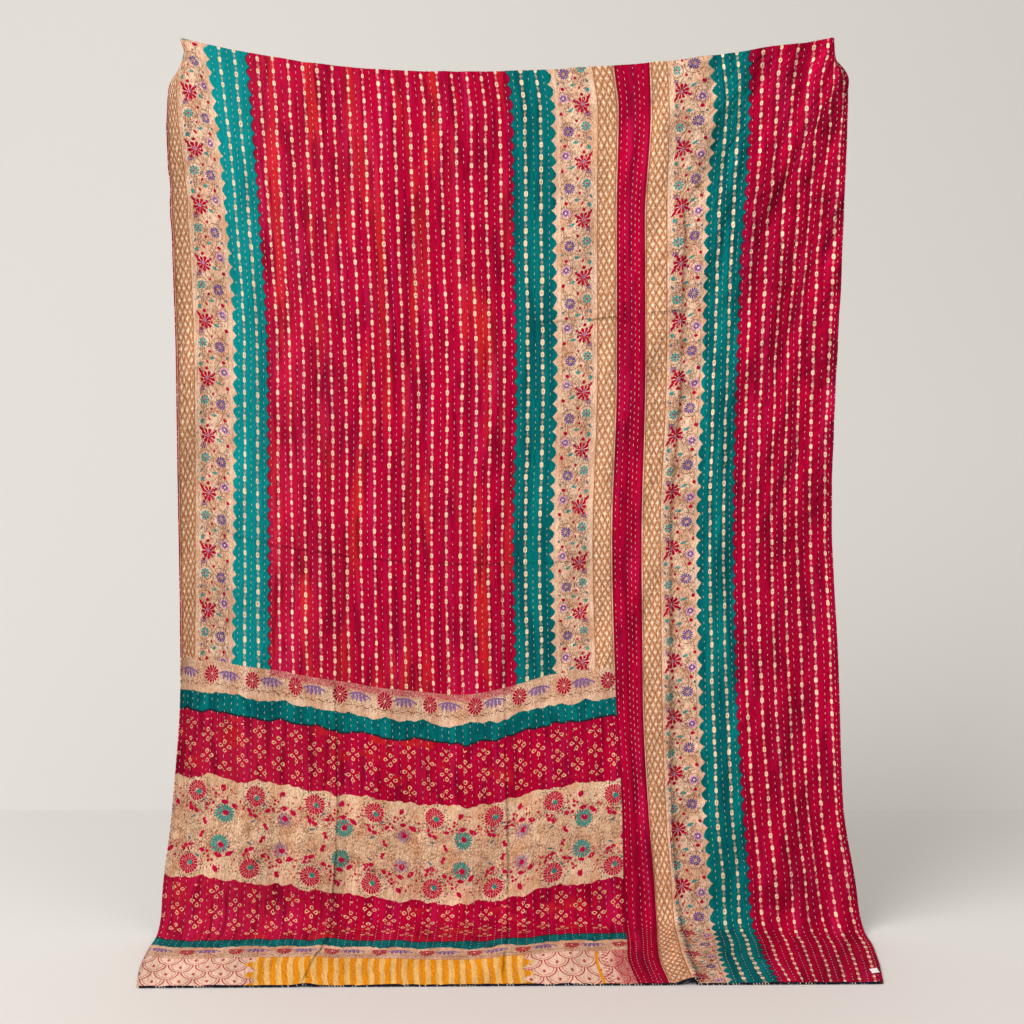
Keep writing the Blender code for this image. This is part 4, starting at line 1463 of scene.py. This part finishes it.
def sewingPieces(threads):
    tree = stitchTree()
    h, half, width = running["height"], running["length"] / 2, running["width"] / 2
    dash = stitchShape(
        "runningStitch",
        ((-half, -0.0004, 0.35), (-half * 0.62, h, 0.9), (half * 0.62, h, 0.9), (half, -0.0004, 0.35)),
        width,
    )
    wrapRadius = rim["radius"] + 0.0004
    wrap = stitchShape("whipStitch", whipStations(wrapRadius), whipping["width"] / 2)
    for vertex in wrap.data.vertices:  # the thread goes round the edge, so it is wound on a half ring
        x, y, z = vertex.co
        angle = y / wrapRadius
        reach = wrapRadius + z
        vertex.co = (reach * math.sin(angle), x + y * 0.35, reach * math.cos(angle) - 0.0002)
    seam = linesLeftOfPleat["seam"]
    pieces = {}
    for name, first, last, lift, way, seed in (
        ("runningStitchesLeft", 0.0, seam, quilt["frontLift"] + 0.0001, 1, 1),
        ("runningStitchesRight", seam, quiltWidth, quilt["frontLift"] + 0.0001, 1, 2),
        ("runningStitchesBack", 0.0, quiltWidth, quilt["backLift"] - 0.0001, -1, 3),
    ):
        lines, ups = runningRows(first, last, lift, way)
        pieces[name] = sewAlong(name, tree, lines, ups, dash, threads["running"], running, seed)
    w = whipping
    sides = np.linspace(w["cornerGap"], quilt["length"] - w["cornerGap"], w["sideSteps"])
    ends = np.linspace(w["cornerGap"], quiltWidth - w["cornerGap"], w["endSteps"])
    sideLines = edgeLines((
        (np.zeros_like(sides), sides, gridAcross, -1),
        (np.full_like(sides, quiltWidth), sides, gridAcross, 1),
        (ends, np.zeros_like(ends), gridDown, -1),
    ))
    hemLines = edgeLines(((ends, np.full_like(ends, quilt["length"]), gridDown, 1),))
    for name, lines, thread, seed in (
        ("edgeWhipping", sideLines, "whipping", 5), ("hemWhipping", hemLines, "hem", 6),
    ):
        pieces[name] = sewAlong(name, tree, *lines, wrap, threads[thread], whipping, seed)
    for shape in (dash, wrap):
        bpy.data.objects.remove(shape)
    return pieces


def whipStations(radius):
    reach = radius * math.pi * 0.55
    shares = (-1, -0.66, -0.33, 0, 0.33, 0.66, 1)
    return [(reach * t, 0.0004 * (1 - t * t) - 0.0002, 1.0 - 0.5 * abs(t)) for t in shares]


# the small blank label

label = {
    "width": 0.017,
    "height": 0.024,
    "thickness": 0.0005,
    "flat": 1.581,
    "down": 2.222,
    "turn": 10.0,  # degrees
    "lift": 0.0040,
}


def labelPiece(material):
    s = label
    across = np.linspace(-0.5, 0.5, 13) * s["width"]
    upwards = np.linspace(-0.5, 0.5, 17) * s["height"]
    x, y = np.meshgrid(across, upwards)
    turn = math.radians(s["turn"])
    flat = s["flat"] + x * math.cos(turn) + y * math.sin(turn)
    down = s["down"] + y * math.cos(turn) - x * math.sin(turn)
    edge = np.minimum(s["width"] / 2 - np.abs(x), s["height"] / 2 - np.abs(y))
    lift = s["lift"] - 0.0006 * ridge(edge, 0.0022) + 0.0004 * softNoise(flat, down, 0.007, 0.007, 31)
    piece = gridMesh("cornerLabelPiece", onCloth(flat, down, lift), True)
    piece.data.materials.append(material)
    setUv(piece, "cloth", np.stack([cornerValues(flat), cornerValues(down)], axis=-1))
    return thicken(piece, s["thickness"])


# stage, lights and camera

studio = {
    "halfWidth": 9.0,
    "floorFront": -9.0,
    "wallTop": 6.0,
    "sweepFrom": 1.07,
    "sweepRadius": 4.8,  # wide, so that the cloth can be looked at from behind as well
    "sweepStart": 6,  # degrees
    "wallColour": (0.765, 0.748, 0.722),
    "floorColour": (0.745, 0.73, 0.705),
    "keyPlace": (-4.6, -4.6, 3.3),
    "keyAim": (0.1, 0.0, -0.8),
    "keySize": 6.0,
    "keyPower": 470.0,
    "fillPlace": (3.0, -3.6, 0.4),
    "fillSize": 3.0,
    "fillPower": 34.0,
    "worldColour": (1.0, 0.95, 0.89),
    "worldStrength": 0.60,
}
view = {
    "place": (0.0, -3.0, -0.888),
    "lens": 47.25,
    "shiftX": 0.002,
    "shiftY": -0.041,
}


def stagePiece(name, stations, colour, roughness):
    made = bpy.data.meshes.new(name)
    ends = (-studio["halfWidth"], studio["halfWidth"])
    corners = [(x, y, z) for y, z in stations for x in ends]
    faces = [(i, i + 1, i + 3, i + 2) for i in range(0, len(corners) - 2, 2)]
    made.from_pydata(corners, [], faces)
    made.shade_smooth()
    piece = addObject(name, made)
    look = Look(name + "Paint")
    look.shader.inputs["Base Color"].default_value = (*colour, 1.0)
    look.shader.inputs["Roughness"].default_value = roughness
    piece.data.materials.append(look.material)


def areaLight(name, place, aim, size, power):
    light = bpy.data.lights.new(name, "AREA")
    light.shape = "DISK"
    light.size = size
    light.energy = power
    lamp = addObject(name, light)
    lamp.location = place
    lamp.rotation_euler = (Vector(aim) - Vector(place)).to_track_quat("-Z", "Y").to_euler()


def setStage():
    s = studio
    floor = hang["floor"] - 0.0003
    turns = np.radians(np.linspace(s["sweepStart"], 90, 41))
    out = s["sweepFrom"] + s["sweepRadius"] * (np.sin(turns) - np.sin(turns[0]))
    up = floor + s["sweepRadius"] * (np.cos(turns[0]) - np.cos(turns))
    sweep = [*zip(out.tolist(), up.tolist()), (float(out[-1]), s["wallTop"])]
    stagePiece("studioFloor", [(s["floorFront"], floor), (s["sweepFrom"], floor)], s["floorColour"], 0.7)
    stagePiece("studioSweep", sweep, s["wallColour"], 0.9)
    areaLight("keyLight", s["keyPlace"], s["keyAim"], s["keySize"], s["keyPower"])
    areaLight("fillLight", s["fillPlace"], s["keyAim"], s["fillSize"], s["fillPower"])
    world = bpy.data.worlds.new("studioWorld")
    world.use_nodes = True
    world.node_tree.nodes["Background"].inputs["Color"].default_value = (*s["worldColour"], 1.0)
    world.node_tree.nodes["Background"].inputs["Strength"].default_value = s["worldStrength"]
    bpy.context.scene.world = world
    bpy.context.scene.view_settings.view_transform = "Standard"


def setCamera():
    camera = bpy.data.cameras.new("photoView")
    camera.lens = view["lens"]
    camera.sensor_width = 36.0
    camera.shift_x = view["shiftX"]
    camera.shift_y = view["shiftY"]
    holder = addObject("photoView", camera)
    holder.location = view["place"]
    holder.rotation_euler = (math.pi / 2, 0.0, 0.0)
    bpy.context.scene.camera = holder


# put together

setCamera()
setStage()
print("camera and stage set")

looks = {
    "lattice": latticeCloth(),
    "flower": flowerCloth(),
    "teal": tealCloth(),
    "dotted": dottedCloth(),
    "strip": stripCloth(),
    "endCream": endCreamCloth(),
    "endTeal": endTealCloth(),
    "endCrimson": endCrimsonCloth(),
    "endRosette": endRosetteCloth(),
    "endStripe": endStripeCloth(),
}
print("prints mixed:", len(looks))

seam = linesLeftOfPleat["seam"]
gap = 0.0002  # each cloth keeps this far from the seam line
leftPanel = sariPanel("leftSariPanelPiece", 0.0, seam - gap, True, looks)
rightPanel = sariPanel("rightSariPanelPiece", seam + gap, quiltWidth, False, looks)
backing = backingPiece(backingLook())
print("cloths laid:", [len(p.data.polygons) for p in (leftPanel, rightPanel, backing)])

threads = {
    "running": threadLook("offWhiteThread", ("thread", "paleCream")),
    "whipping": threadLook("edgeThread", ("crimson", "thread", "darkCrimson", "navy", "crimson")),
    "hem": threadLook("hemThread", ("navy", "thread", "paleCream", "ink", "thread")),
}
sewing = sewingPieces(threads)
print("stitches sewn:", {name: len(p.data.polygons) for name, p in sewing.items()})

tab = labelPiece(labelLook())

for piece in (leftPanel, rightPanel, backing, tab, *sewing.values()):
    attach(piece, "root")
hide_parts("left_sari_panel")
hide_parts("right_sari_panel")
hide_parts("backing_cloth")
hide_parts("corner_label")
print("pieces declared")
